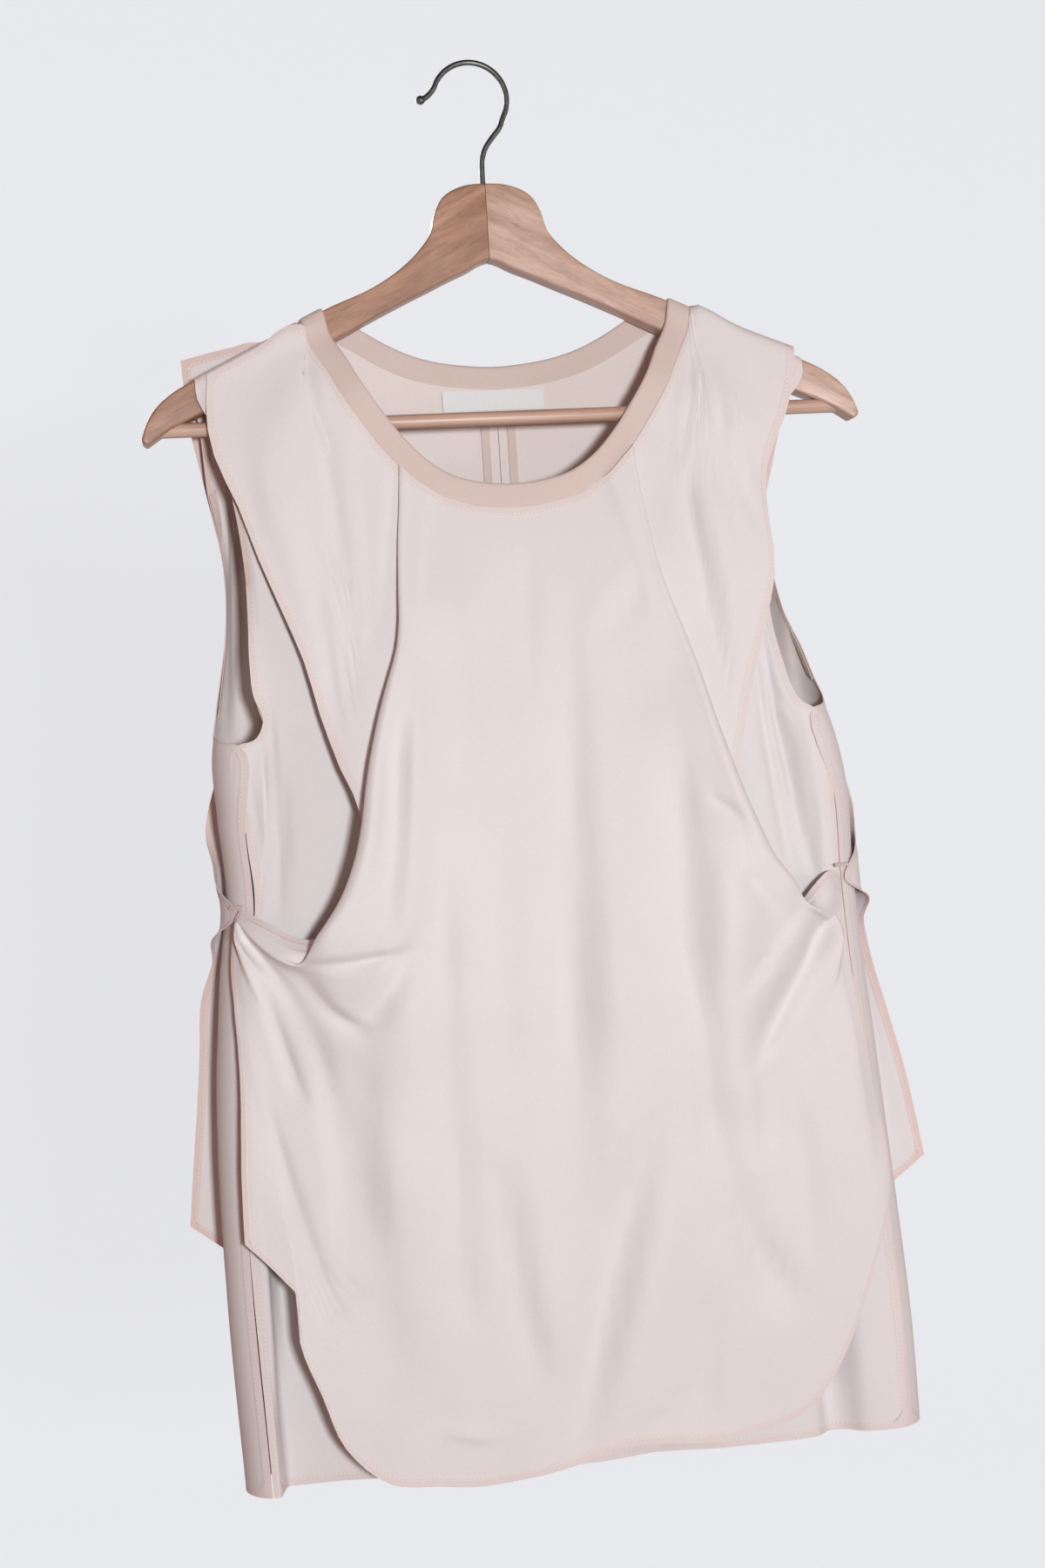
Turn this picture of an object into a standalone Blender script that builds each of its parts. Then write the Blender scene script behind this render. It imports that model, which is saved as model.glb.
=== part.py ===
"""Layered sleeveless top hanging on a wooden hanger.

Sizes are in millimetres and become metres when a mesh is made. X runs to the right as seen from the front, Y runs
away from the viewer, Z is up. Garment and hanger are laid out about the hanger's middle, and to_metres then puts
the origin where the inside of the hook touches what it hangs on.
"""
import math
from collections import namedtuple

import bmesh
import bpy
import numpy as np

MM = 0.001
GAP = 0.3            # space kept between pieces that touch
WALL = 1.0           # cloth wall
LAYER = WALL + GAP   # from the middle of one cloth to the middle of the next

# Hanger: two flat halves swept forward, a round bar between the tips and a wire hook
BOARD = 15.0                            # thickness of a half, front to back
SWEEP = math.tan(math.radians(9))       # forward travel of an arm for each mm outward
ARM_SLOPE = 0.521                       # fall of an arm's top edge for each mm outward
ARM_START = 100.0                       # where that straight top edge begins
ARM_START_TOP = -149.5
BAR_RADIUS = 4.3
BAR_HEIGHT = -220.8
BAR_REACH = 206.0
WIRE_RADIUS = 1.7
HOOK_RADIUS = 22.7                      # middle line of the hook's bend
HOOK_OFFSET = 4.7                       # the stem stands this far right of the hook's crown
STEM_FOOT = -97.5

# Garment
SIDE_ROUND = 22.0                       # how far in from a side the base turns from front to back
BAND_WIDTH = 14.0
BAND_WALL = 2 * WALL + GAP
BAND_GAP = 0.45
NECK_TURN = 118.0                       # the band's outer edge crosses the arm here
SHOULDER_TIP = 182.0
HEM = -842.0

Point = namedtuple("Point", "x z")
Rail = namedtuple("Rail", "x z off")    # off: how far the cloth stands off the base
# A crease from one end to the other. A drop is the width over which a one-sided fold stays in, 0 on a plain valley.
Fold = namedtuple("Fold", "x_start z_start x_end z_end width depth drop")


# ---------------------------------------------------------------- small tools

def smoothstep(value):
    value = np.clip(value, 0.0, 1.0)
    return value * value * (3 - 2 * value)


def mix(first, second, share):
    return first + (second - first) * share


def read(rows, column, height):
    """A table whose rows run downward, read at a height."""
    return float(np.interp(-height, [-row[0] for row in rows], [row[column] for row in rows]))


def through(knots, steps):
    """A smooth curve through its knots, with a fixed number of steps in each span."""
    knots = np.array(knots, float)
    where = np.concatenate([[0], np.cumsum(np.maximum(np.linalg.norm(np.diff(knots, axis=0), axis=1), 1e-6))])
    slopes = np.gradient(knots, where, axis=0)
    found = [knots[0]]
    for i, count in enumerate(steps):
        span = where[i + 1] - where[i]
        for t in np.arange(1, count + 1) / count:
            found.append(
                knots[i] * (2 * t**3 - 3 * t**2 + 1) + slopes[i] * span * (t**3 - 2 * t**2 + t)
                + knots[i + 1] * (3 * t**2 - 2 * t**3) + slopes[i + 1] * span * (t**3 - t**2))
    return np.array(found)


def run(points, shares):
    """Points on a smooth curve through a table's rows, at shares of its length or in so many even steps."""
    fine = through(points, [24] * (len(points) - 1))
    where = np.concatenate([[0], np.cumsum(np.linalg.norm(np.diff(fine, axis=0), axis=1))])
    if isinstance(shares, int):
        shares = np.linspace(0, 1, shares + 1)
    return np.stack([np.interp(np.array(shares) * where[-1], where, column) for column in fine.T], axis=1)


def chain(pieces, steps):
    """Several runs end to end, with a corner where they meet."""
    runs = [run(piece, count) for piece, count in zip(pieces, steps)]
    return np.concatenate([runs[0]] + [later[1:] for later in runs[1:]])


def fold_depth(x, z, folds):
    """How far named folds sink the cloth."""
    total = 0.0
    for fold in folds:
        run_x, run_z = fold.x_end - fold.x_start, fold.z_end - fold.z_start
        length = math.hypot(run_x, run_z)
        along = ((x - fold.x_start) * run_x + (z - fold.z_start) * run_z) / length**2
        across = ((x - fold.x_start) * run_z - (z - fold.z_start) * run_x) / length
        if not 0 < along < 1:
            continue
        strength = smoothstep(along * 4) * smoothstep((1 - along) * 4)
        if fold.drop:
            across *= math.copysign(1, fold.drop)
            shape = smoothstep(across / fold.width + 0.5) * (1 - smoothstep(across / abs(fold.drop)))
        else:
            shape = math.exp(-(across / fold.width) ** 2)
        total += fold.depth * shape * strength
    return total


# ---------------------------------------------------------------- meshes

def to_metres(point):
    return (point[0] + HOOK_OFFSET) * MM, point[1] * MM, point[2] * MM


def new_object(name, points, faces, finish):
    mesh = bpy.data.meshes.new(name)
    mesh.from_pydata([to_metres(point) for point in points], [], faces)
    shape = bmesh.new()
    shape.from_mesh(mesh)
    bmesh.ops.recalc_face_normals(shape, faces=shape.faces)
    if shape.calc_volume(signed=True) < 0:
        bmesh.ops.reverse_faces(shape, faces=shape.faces)
    bmesh.ops.triangulate(shape, faces=shape.faces)
    shape.to_mesh(mesh)
    shape.free()
    mesh.shade_smooth()
    mesh.set_sharp_from_angle(angle=math.radians(50))
    mesh.materials.append(finish)
    made = bpy.data.objects.new(name, mesh)
    bpy.context.collection.objects.link(made)
    return made


def unit_normals(grid):
    """Square to the grid at each of its points, toward the back on a front panel."""
    normals = np.cross(np.gradient(grid, axis=1), np.gradient(grid, axis=0))
    return normals / np.maximum(np.linalg.norm(normals, axis=2, keepdims=True), 1e-9)


def cloth(name, grid, wall, finish):
    """A grid of middle points, given a wall and closed round its edge."""
    rows, columns = grid.shape[:2]
    normals = unit_normals(grid) * wall / 2
    points = np.concatenate([(grid + normals).reshape(-1, 3), (grid - normals).reshape(-1, 3)])
    behind = rows * columns
    faces = []
    for i in range(rows - 1):
        for j in range(columns - 1):
            corner = i * columns + j
            quad = (corner, corner + 1, corner + columns + 1, corner + columns)
            falling = np.linalg.norm(grid[i + 1, j + 1] - grid[i, j])
            rising = np.linalg.norm(grid[i + 1, j] - grid[i, j + 1])
            for half in (((0, 1, 2), (0, 2, 3)) if falling < rising else ((0, 1, 3), (1, 2, 3))):
                faces.append(tuple(quad[k] for k in half))
                faces.append(tuple(behind + quad[k] for k in reversed(half)))
    rim = list(range(columns))
    rim += [i * columns + columns - 1 for i in range(1, rows)]
    rim += [(rows - 1) * columns + j for j in range(columns - 2, -1, -1)]
    rim += [i * columns for i in range(rows - 2, 0, -1)]
    for first, second in zip(rim, rim[1:] + rim[:1]):
        faces.append((second, first, behind + first, behind + second))
    return new_object(name, points, faces, finish)


def lofted(name, rings, finish):
    """Closed rings joined one to the next, with flat ends."""
    around = len(rings[0])
    faces = [tuple(range(around - 1, -1, -1)), tuple(range((len(rings) - 1) * around, len(rings) * around))]
    for i in range(len(rings) - 1):
        for j in range(around):
            k = (j + 1) % around
            faces.append((i * around + j, i * around + k, (i + 1) * around + k, (i + 1) * around + j))
    return new_object(name, np.concatenate(rings), faces, finish)


def round_rings(path, radii, sides):
    """Rings round a path that lies in one XZ plane."""
    rings = []
    steps = np.gradient(path, axis=0)
    for centre, step, radius in zip(path, steps, radii):
        out = np.array([step[2], 0, -step[0]]) / math.hypot(step[0], step[2])
        turns = [2 * math.pi * k / sides for k in range(sides)]
        rings.append(np.array([
            centre + radius * (math.cos(t) * out + math.sin(t) * np.array([0, 1, 0])) for t in turns]))
    return rings


def finish(name, colour, roughness, metallic=0.0):
    made = bpy.data.materials.new(name)
    made.use_nodes = True
    shader = made.node_tree.nodes["Principled BSDF"]
    shader.inputs["Base Color"].default_value = (*colour, 1.0)
    shader.inputs["Roughness"].default_value = roughness
    shader.inputs["Metallic"].default_value = metallic
    return made


# ---------------------------------------------------------------- hanger

# where a half's upper and lower edges lie, from the middle to the tip
Station = namedtuple("Station", "x_upper z_upper x_lower z_lower")
HALF = (
    Station(0.15, -73.8, 0.15, -119.8), Station(15, -76, 14, -126.5), Station(27, -83, 26, -132),
    Station(32.5, -93, 34, -136), Station(35.5, -104, 40, -139), Station(43.5, -115, 48, -142.8),
    Station(56, -126.5, 60, -148.8), Station(73, -137.5, 74, -156), Station(100, -149.5, 97, -168.3),
    Station(140, -170.3, 137, -189.5), Station(180, -191.2, 176, -210.5), Station(195, -199.5, 190, -217),
    Station(206, -209, 199, -221.8), Station(212.5, -220, 206, -226.5), Station(215, -227.5, 211.5, -230.5),
)
UPPER_ROUND, LOWER_ROUND = 5.0, 2.5


def half_section(station, side):
    """A rounded rectangle between the upper and lower edge, as thick as the board."""
    upper = np.array([station.x_upper, station.z_upper])
    lower = np.array([station.x_lower, station.z_lower])
    height = np.linalg.norm(upper - lower)
    down = (lower - upper) / height
    corners = (
        (1, 0, min(UPPER_ROUND, height * 0.4), 0), (1, 1, min(LOWER_ROUND, height * 0.3), 90),
        (-1, 1, min(LOWER_ROUND, height * 0.3), 180), (-1, 0, min(UPPER_ROUND, height * 0.4), 270),
    )
    ring = []
    for face, at_lower, radius, start in corners:
        centre_y = face * (BOARD / 2 - radius)
        centre_down = height - radius if at_lower else radius
        for step in range(4):
            turn = math.radians(start + step * 30)
            depth = centre_y + radius * math.sin(turn)
            fall = centre_down - radius * math.cos(turn)
            x, z = upper + down * fall
            ring.append((side * x, depth - SWEEP * x, z))
    return np.array(ring)


def cut(target, cutter):
    cutter.hide_render = True
    cutter.display_type = "WIRE"
    hole = target.modifiers.new("hole", "BOOLEAN")
    hole.object = cutter
    hole.operation = "DIFFERENCE"


def straight(start, end):
    return np.array([start, mix(np.array(start), np.array(end), 0.5), end], float)


def make_hanger(wood, metal):
    bar_depth = -SWEEP * (BAR_REACH - 3)
    stem_hole = lofted(
        "stem_hole", round_rings(straight((0, 0, -60), (0, 0, STEM_FOOT - 1)), [WIRE_RADIUS + GAP] * 3, 12), wood)
    for side, name in ((-1, "hanger_half_left"), (1, "hanger_half_right")):
        half = lofted(name, [half_section(station, side) for station in HALF], wood)
        socket_path = straight((side * 150, bar_depth, BAR_HEIGHT), (side * (BAR_REACH + GAP), bar_depth, BAR_HEIGHT))
        socket = lofted(name + "_socket", round_rings(socket_path, [BAR_RADIUS + GAP] * 3, 16), wood)
        cut(half, socket)
        cut(half, stem_hole)
    bar = straight((-BAR_REACH, bar_depth, BAR_HEIGHT), (BAR_REACH, bar_depth, BAR_HEIGHT))
    lofted("hanger_bar", round_rings(bar, [BAR_RADIUS] * 3, 16), wood)
    make_hook(metal)


def make_hook(metal):
    """Ball end, the bend, then the neck of the wire down into the wood."""
    centre_x, centre_z = -HOOK_OFFSET, WIRE_RADIUS - HOOK_RADIUS
    end = [(-37.6, -21.9), (-37.1, -21.7), (-36.0, -21.2), (-34.6, -20.7), (-33.4, -20.2), (-30.6, -18.4)]
    bend = [
        (centre_x + HOOK_RADIUS * math.cos(math.radians(turn)), centre_z + HOOK_RADIUS * math.sin(math.radians(turn)))
        for turn in range(160, -31, -10)]
    neck = [(12.6, -38.2), (7.2, -44.8), (2.6, -51.5), (0.5, -58), (0, -66), (0, -80), (0, STEM_FOOT)]
    path = np.array([(x, 0, z) for x, z in end + bend + neck])
    ball = [0.9, 1.9, 2.8, 2.6, 1.8]
    radii = ball + [WIRE_RADIUS] * (len(path) - len(ball))
    lofted("hanger_hook", round_rings(path, radii, 8), metal)


# ---------------------------------------------------------------- forms that the cloth follows

ARM_FACE = BOARD / 2 + 1.65          # middle of the base cloth, from the arm's middle
ARM_BACK = BOARD / 2 + 2.5           # the same behind the arm, where the cloth hangs looser
OVER_START = 8.0                     # the cloth starts to turn over the arm this far below its top
OVER_RISE = OVER_START + 1.4
OVER_LENGTH = 13.5                   # cloth from there to the shoulder seam
SHOULDER = OVER_LENGTH - OVER_START  # height of the seam above the arm's top, as cloth length

# height, then the depth of the base's front and of its back, well below the arms
HANG = (
    (-150, -38.5, 2.0), (-221, -38.7, 3.0), (-262, -41.0, 4.0), (-330, -42.0, 5.0),
    (-500, -42.0, 6.0), (-680, -41.0, 8.0), (-860, -40.0, 10.0),
)
# height, then the base's half width on its left and on its right
SIDES = (
    (-150, 214, 214), (-200, 210, 204), (-246, 191, 180), (-290, 176, 166), (-312, 173, 165), (-347, 175, 173),
    (-381, 181, 183), (-405, 185, 188), (-441, 185, 197), (-503, 182.5, 198), (-545, 191, 200), (-620, 196, 206),
    (-687, 198, 211), (-760, 196, 217), (-850, 193, 219),
)


def arm_top(x):
    return ARM_START_TOP - ARM_SLOPE * (abs(x) - ARM_START)


def front_depth(x, z):
    hanging = smoothstep((arm_top(x) - 12 - z) / 44)
    return mix(-SWEEP * abs(x) - ARM_FACE, read(HANG, 1, z), hanging)


def back_depth(x, z):
    hanging = smoothstep((arm_top(x) - 24 - z) / 100)
    return mix(-SWEEP * abs(x) + ARM_BACK, read(HANG, 2, z), hanging)


def half_width(x, z):
    return read(SIDES, 1 if x < 0 else 2, z)


def over_arm(x, z, facing, off):
    """Depth and height where cloth turns over the arm. z goes on above the turn's start as cloth length."""
    turn = min((z - arm_top(x) + OVER_START) / OVER_LENGTH, 1.0) * math.pi / 2
    depth = ((ARM_FACE if facing < 0 else ARM_BACK) + off) * max(math.cos(turn), 0.0) ** (2 / 3)
    rise = (OVER_RISE + off * 1.15) * math.sin(turn) ** (2 / 3)
    return facing * depth - SWEEP * abs(x), arm_top(x) - OVER_START + rise


def side_turn(x, z):
    """Middle depth, half depth and cloth length of the half ring at one side of the base."""
    inner = math.copysign(half_width(x, z) - SIDE_ROUND, x)
    if abs(x) < abs(inner):
        inner = x
    front, back = front_depth(inner, z), back_depth(inner, z)
    half = (back - front) / 2
    return (front + back) / 2, half, math.pi * math.sqrt((SIDE_ROUND**2 + half**2) / 2)


def base_point(along, z, facing, off=0.0):
    """A point on the base. along is cloth length from the panel's middle; facing is -1 in front, 1 behind."""
    if z > arm_top(along) - OVER_START:
        return (along, *over_arm(along, z, facing, off))
    side = math.copysign(1, along)
    flat = half_width(along, z) - SIDE_ROUND
    middle, half, arc = side_turn(along, z)
    turn = max(abs(along) - flat, 0) / arc * math.pi
    x = side * (min(abs(along), flat) + (SIDE_ROUND + off) * math.sin(turn))
    return x, middle + facing * (half + off) * math.cos(turn), z


def standing_point(x, z, off, facing=-1):
    """A point standing off the base's front or back, found by its own x."""
    if z > arm_top(x) - OVER_START:
        return (x, *over_arm(x, z, facing, off))
    middle, half, _ = side_turn(x, z)
    share = min(max(abs(x) - half_width(x, z) + SIDE_ROUND, 0) / (SIDE_ROUND + off), 0.97)
    return x, middle + facing * (half + off) * math.sqrt(1 - share**2), z


# ---------------------------------------------------------------- neck

# outer edge of the neck band, right half: over the arm, then on to the middle
NECK_FRONT = (
    (Point(NECK_TURN, -153.4), Point(117, -160), Point(115, -169)),
    (Point(115, -169), Point(108, -183), Point(99, -202), Point(87, -221.5), Point(75, -238.5), Point(62, -253),
     Point(48, -264), Point(33, -270.5), Point(16, -274), Point(0, -275)),
)
NECK_BACK = (
    (Point(NECK_TURN, -153.4), Point(111, -158), Point(104, -162.5)),
    (Point(104, -162.5), Point(94, -168), Point(80, -176.5), Point(60, -186.5), Point(30, -194.5), Point(0, -197)),
)
NECK_FRONT_STEPS = (3, 8)
NECK_BACK_STEPS = (3, 6)


def neck_edge(pieces, steps):
    """The band's outer edge from the left shoulder to the right one."""
    half = chain(pieces, steps)
    return np.concatenate([half * (-1, 1), half[::-1][1:]])


def inward(edge, width):
    """The neck's edge moved inward: along the arm where it crosses it, then square to the edge."""
    step = np.gradient(edge, axis=0)
    across = np.stack([-step[:, 1], step[:, 0]], axis=1)
    across /= np.linalg.norm(across, axis=1, keepdims=True)
    along_arm = np.stack([-np.sign(edge[:, 0]), np.full(len(edge), ARM_SLOPE)], axis=1) / math.hypot(1, ARM_SLOPE)
    count = np.arange(len(edge))
    across = mix(along_arm, across, smoothstep(np.minimum(count, count[::-1]) / 5)[:, None])
    return edge + width * across / np.linalg.norm(across, axis=1, keepdims=True)


def make_neck_band(name, outer, facing, finish_used):
    lines = []
    for width in (BAND_GAP, BAND_WIDTH / 2, BAND_WIDTH):
        lines.append(inward(outer, width))
    grid = np.array([[base_point(x, z, facing, LAYER / 2) for x, z in line] for line in lines])
    grid[:, (0, -1), 1] += facing * BAND_GAP
    return cloth(name, grid, BAND_WALL, finish_used)


# ---------------------------------------------------------------- base tank

# armhole edges below the arm, along the cloth, down to the side seam
ARMHOLE_FRONT_LEFT = (
    Point(-177, -209), Point(-168, -245), Point(-163, -280), Point(-161, -337), Point(-160, -378),
    Point(-156, -394), Point(-160, -402), Point(-171, -405.5))
ARMHOLE_FRONT_RIGHT = (
    Point(176, -207), Point(162, -240), Point(152, -280), Point(150, -325), Point(154, -364), Point(159, -382),
    Point(164, -397), Point(175, -403.5))
ARMHOLE_BACK_LEFT = (
    Point(-181, -209), Point(-178, -246), Point(-178, -290), Point(-184, -315), Point(-188, -347),
    Point(-194, -381), Point(-198, -394), Point(-210, -401.5), Point(-226, -405.5))
ARMHOLE_BACK_RIGHT = (
    Point(177, -207), Point(165, -240), Point(164.5, -275), Point(168, -300), Point(172, -334), Point(184, -359),
    Point(192, -378), Point(201, -394), Point(214, -400.5), Point(229, -403.5))
SEAM_GAP = 0.22                          # either side of a side seam
UNDERARM_LEFT, UNDERARM_RIGHT = -405.5, -403.5
SEAM_LEFT, SEAM_RIGHT = 171.0, 175.0     # the side seam, from the middle of the front, at the underarm

FRONT_FOLDS = (
    Fold(-154, -408, -168, -512, 5, 5, -30), Fold(155, -388, 172, -512, 6, 6, 30),
    Fold(-40, -560, -60, -980, 26, 8, 0), Fold(40, -540, 62, -980, 24, 8, 0), Fold(150, -560, 170, -980, 11, 12, 0),
)
BACK_FOLDS = (
    Fold(-120, -400, -105, -980, 22, 9, 0), Fold(-55, -450, -58, -980, 20, 7, 0),
    Fold(58, -450, 62, -980, 20, 8, 0), Fold(125, -400, 112, -980, 20, 9, 0),
)
# the left side hangs as a tube in front of a deep valley
VALLEY_EDGE, VALLEY_STEP, VALLEY_REACH, VALLEY_DEPTH = -172.0, 7.0, 100.0, 21.0
VALLEY_TOP, VALLEY_FULL = -525.0, -690.0

SHOULDER_ROWS, ARMHOLE_ROWS = 4, 10
SKIRT_HEIGHTS = (-458, -503, -545, -600, -660, -720, -780, HEM)
ARMHOLE_SHARES = (0, 0.12, 0.25, 0.38, 0.51, 0.63, 0.74, 0.83, 0.90, 0.955, 1)
SETTLED = SHOULDER_ROWS + ARMHOLE_ROWS   # the row that reaches the side seam
SHOULDER_SHARES_FRONT = (0, 0.10, 0.22, 0.36, 0.52, 0.74)
SHOULDER_SHARES_BACK = (0, 0.10, 0.24, 0.42, 0.68)
FANNED = 150.0                           # columns from the neck's end spread out to here
FAN_NEAR, FAN_FAR = 30.0, 120.0          # how far down, at the shoulder and below the neck
UNDERARM_SINK = (3, 8, 16, 26)           # rows inside the panel pass this far under the armhole's last points
SMOOTH_ROWS = 6                          # of the armhole's, that the inside of the panel follows
EDGE_PULL = (1, 0.9, 0.76, 0.6, 0.42, 0.22, 0.08)    # how far a side edge's shape reaches into the panel


def valley_depth(x, z):
    opened = smoothstep((VALLEY_TOP - z) / (VALLEY_TOP - VALLEY_FULL))
    inside = smoothstep((x - VALLEY_EDGE) / VALLEY_STEP + 0.5)
    closing = 1 - smoothstep((x - VALLEY_EDGE - 25) / VALLEY_REACH)
    return VALLEY_DEPTH * opened * inside * closing


def front_seam(side, z):
    seam, start = (SEAM_LEFT, UNDERARM_LEFT) if side < 0 else (SEAM_RIGHT, UNDERARM_RIGHT)
    return seam + half_width(side, z) - half_width(side, start)


def back_seam(side, z):
    flat = half_width(side, z) - SIDE_ROUND
    _, _, arc = side_turn(side * (flat + 1), z)
    return 2 * flat + arc - front_seam(side, z)


def panel_side(armhole, side, seam_at):
    """A panel's side edge: over the shoulder, round the armhole, down the seam."""
    tip = arm_top(SHOULDER_TIP)
    over = [(side * SHOULDER_TIP, tip + SHOULDER - OVER_LENGTH * i / SHOULDER_ROWS) for i in range(SHOULDER_ROWS)]
    hole = run([(side * SHOULDER_TIP, tip - OVER_START), *armhole], ARMHOLE_SHARES)
    seam = [(side * (seam_at(side, z) - SEAM_GAP), z) for z in (hole[-1][1], *SKIRT_HEIGHTS)]
    return np.concatenate([over, hole[:-1], seam])


def panel_plan(left, right, shoulder_shares, neck):
    """Rows of a panel. They crowd on the shoulder, spread below the neck, and bend to the side edges."""
    start = left[0, 1]
    crowded = left[:, 1].copy()
    crowded[SETTLED - 3:SETTLED + 1] -= UNDERARM_SINK
    even = np.concatenate([np.linspace(start, crowded[SETTLED], SETTLED + 1), SKIRT_HEIGHTS])
    shoulder = np.array([
        (x, arm_top(x) + SHOULDER) for x in (mix(SHOULDER_TIP, NECK_TURN, share) for share in shoulder_shares)])
    top = np.concatenate([shoulder * (-1, 1), neck, shoulder[::-1]])
    past = np.minimum(np.arange(len(top)), np.arange(len(top))[::-1]) - len(shoulder)
    level = mix(crowded[:, None], even[:, None], smoothstep((past - 1) / 4))
    kept = [*range(SHOULDER_ROWS + SMOOTH_ROWS), *range(SETTLED + 1, len(left))]
    widths = [np.interp(-level, -edge[kept, 1], np.abs(edge[kept, 0])) for edge in (left, right)]
    fanned = [SHOULDER_TIP - (SHOULDER_TIP - x) * (SHOULDER_TIP - FANNED) / (SHOULDER_TIP - NECK_TURN)
              for x in shoulder[:, 0]]
    half = len(neck) // 2
    fanned += list(np.interp(range(half + 1), (0, 3, half), (FANNED, FANNED * (half - 2) / half, 0)))
    fanned = np.concatenate([np.negative(fanned), fanned[-2::-1]])
    reach = mix(FAN_NEAR, FAN_FAR, smoothstep((past - 3) / 3))
    x = mix(top[:, 0], fanned, smoothstep((start - level) / reach)) / SHOULDER_TIP
    x = x * np.where(x < 0, *widths)
    z = level + (level - HEM) / (start - HEM) * (top[:, 1] - start)
    plan = np.stack([x, z], axis=2)
    pull_left, pull_right = left - plan[:, 0], right - plan[:, -1]
    for j, pull in enumerate(EDGE_PULL):
        plan[:, j] += pull * pull_left
        plan[:, -1 - j] += pull * pull_right
    return plan


def panel_grid(plan, facing, folds):
    grid = np.array([[base_point(along, z, facing) for along, z in row] for row in plan])
    for point in grid.reshape(-1, 3):
        sink = fold_depth(point[0], point[2], folds)
        if facing < 0:
            sink += valley_depth(point[0], point[2])
        point[1] -= facing * sink
    grid[0, :, 1] += facing * SEAM_GAP
    return grid


def lining(grid, rows, columns, width, wall, inside):
    """Two lines on a panel's inner face, so far in from its edge along each row."""
    lifted = (grid + unit_normals(grid) * inside * ((WALL + wall) / 2 + LINING_GAP))[rows]
    lines = np.empty((2, len(lifted), 3))
    for i, row in enumerate(lifted):
        row = row[list(columns)]
        where = np.concatenate([[0], np.cumsum(np.linalg.norm(np.diff(row, axis=0), axis=1))])
        for line, distance in enumerate(width):
            lines[line, i] = [np.interp(distance, where, row[:, k]) for k in range(3)]
    return lines


BINDING_WALL = 0.5
LINING_GAP = 0.7
BINDING_WIDTH = (0.1, 6.0)
TAPE_WIDTH = (5.4, 10.4)                 # from the middle of the back to either edge of a tape
LABEL_LEFT, LABEL_RIGHT, LABEL_TOP, LABEL_FOOT, LABEL_WALL = -33.0, 29.5, -197.8, -210.0, 0.6


def make_base(crepe, peach, satin):
    neck = neck_edge(NECK_FRONT, NECK_FRONT_STEPS)
    left = panel_side(ARMHOLE_FRONT_LEFT, -1, front_seam)
    right = panel_side(ARMHOLE_FRONT_RIGHT, 1, front_seam)
    grid = panel_grid(panel_plan(left, right, SHOULDER_SHARES_FRONT, neck), -1, FRONT_FOLDS)
    cloth("base_front", grid, WALL, crepe)
    make_neck_band("neck_band_front", neck, -1, peach)
    hole = slice(SHOULDER_ROWS + 2, SETTLED - 1)
    for side, columns in (("left", range(7)), ("right", range(-1, -8, -1))):
        lines = lining(grid, hole, columns, BINDING_WIDTH, BINDING_WALL, 1)
        cloth(f"armhole_binding_front_{side}", lines, BINDING_WALL, peach)

    neck = neck_edge(NECK_BACK, NECK_BACK_STEPS)
    left = panel_side(ARMHOLE_BACK_LEFT, -1, back_seam)
    right = panel_side(ARMHOLE_BACK_RIGHT, 1, back_seam)
    grid = panel_grid(panel_plan(left, right, SHOULDER_SHARES_BACK, neck), 1, BACK_FOLDS)
    make_neck_band("neck_band_back", neck, 1, peach)
    middle = grid.shape[1] // 2
    for side, name, columns in ((-1, "left", slice(None, middle + 1)), (1, "right", slice(middle, None))):
        half = grid[:, columns].copy()
        inner = -1 if side < 0 else 0
        half[:, inner, 0] = side * GAP / 2
        cloth(f"base_back_{name}", half, WALL, crepe)
        order = range(inner, inner + 4 * side, side)
        lines = lining(half, slice(1, None), order, TAPE_WIDTH, BINDING_WALL, -1)
        cloth(f"back_tape_{name}", lines, BINDING_WALL, peach)
        order = range(7) if side < 0 else range(-1, -8, -1)
        hole = slice(SHOULDER_ROWS + 2, SETTLED - 2)
        lines = lining(half, hole, order, BINDING_WIDTH, BINDING_WALL, -1)
        cloth(f"armhole_binding_back_{name}", lines, BINDING_WALL, peach)
    label = [[base_point(x, z, 1, -(WALL + LABEL_WALL) / 2 - GAP) for x in np.linspace(LABEL_LEFT, LABEL_RIGHT, 9)]
             for z in (LABEL_TOP, (LABEL_TOP + LABEL_FOOT) / 2, LABEL_FOOT)]
    cloth("neck_label", np.array(label), LABEL_WALL, satin)


# ---------------------------------------------------------------- front overlay

# Rails run from the shoulder down to where the wing's edge dives behind the swag, on to the swag's lower corner,
# along the turned-up strip to the tack, and down the tail to its corner.
STRETCHES = (12, 4, 4, 7)
TURN_ROWS = 4                            # of the first stretch, those that turn over an arm

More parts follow.
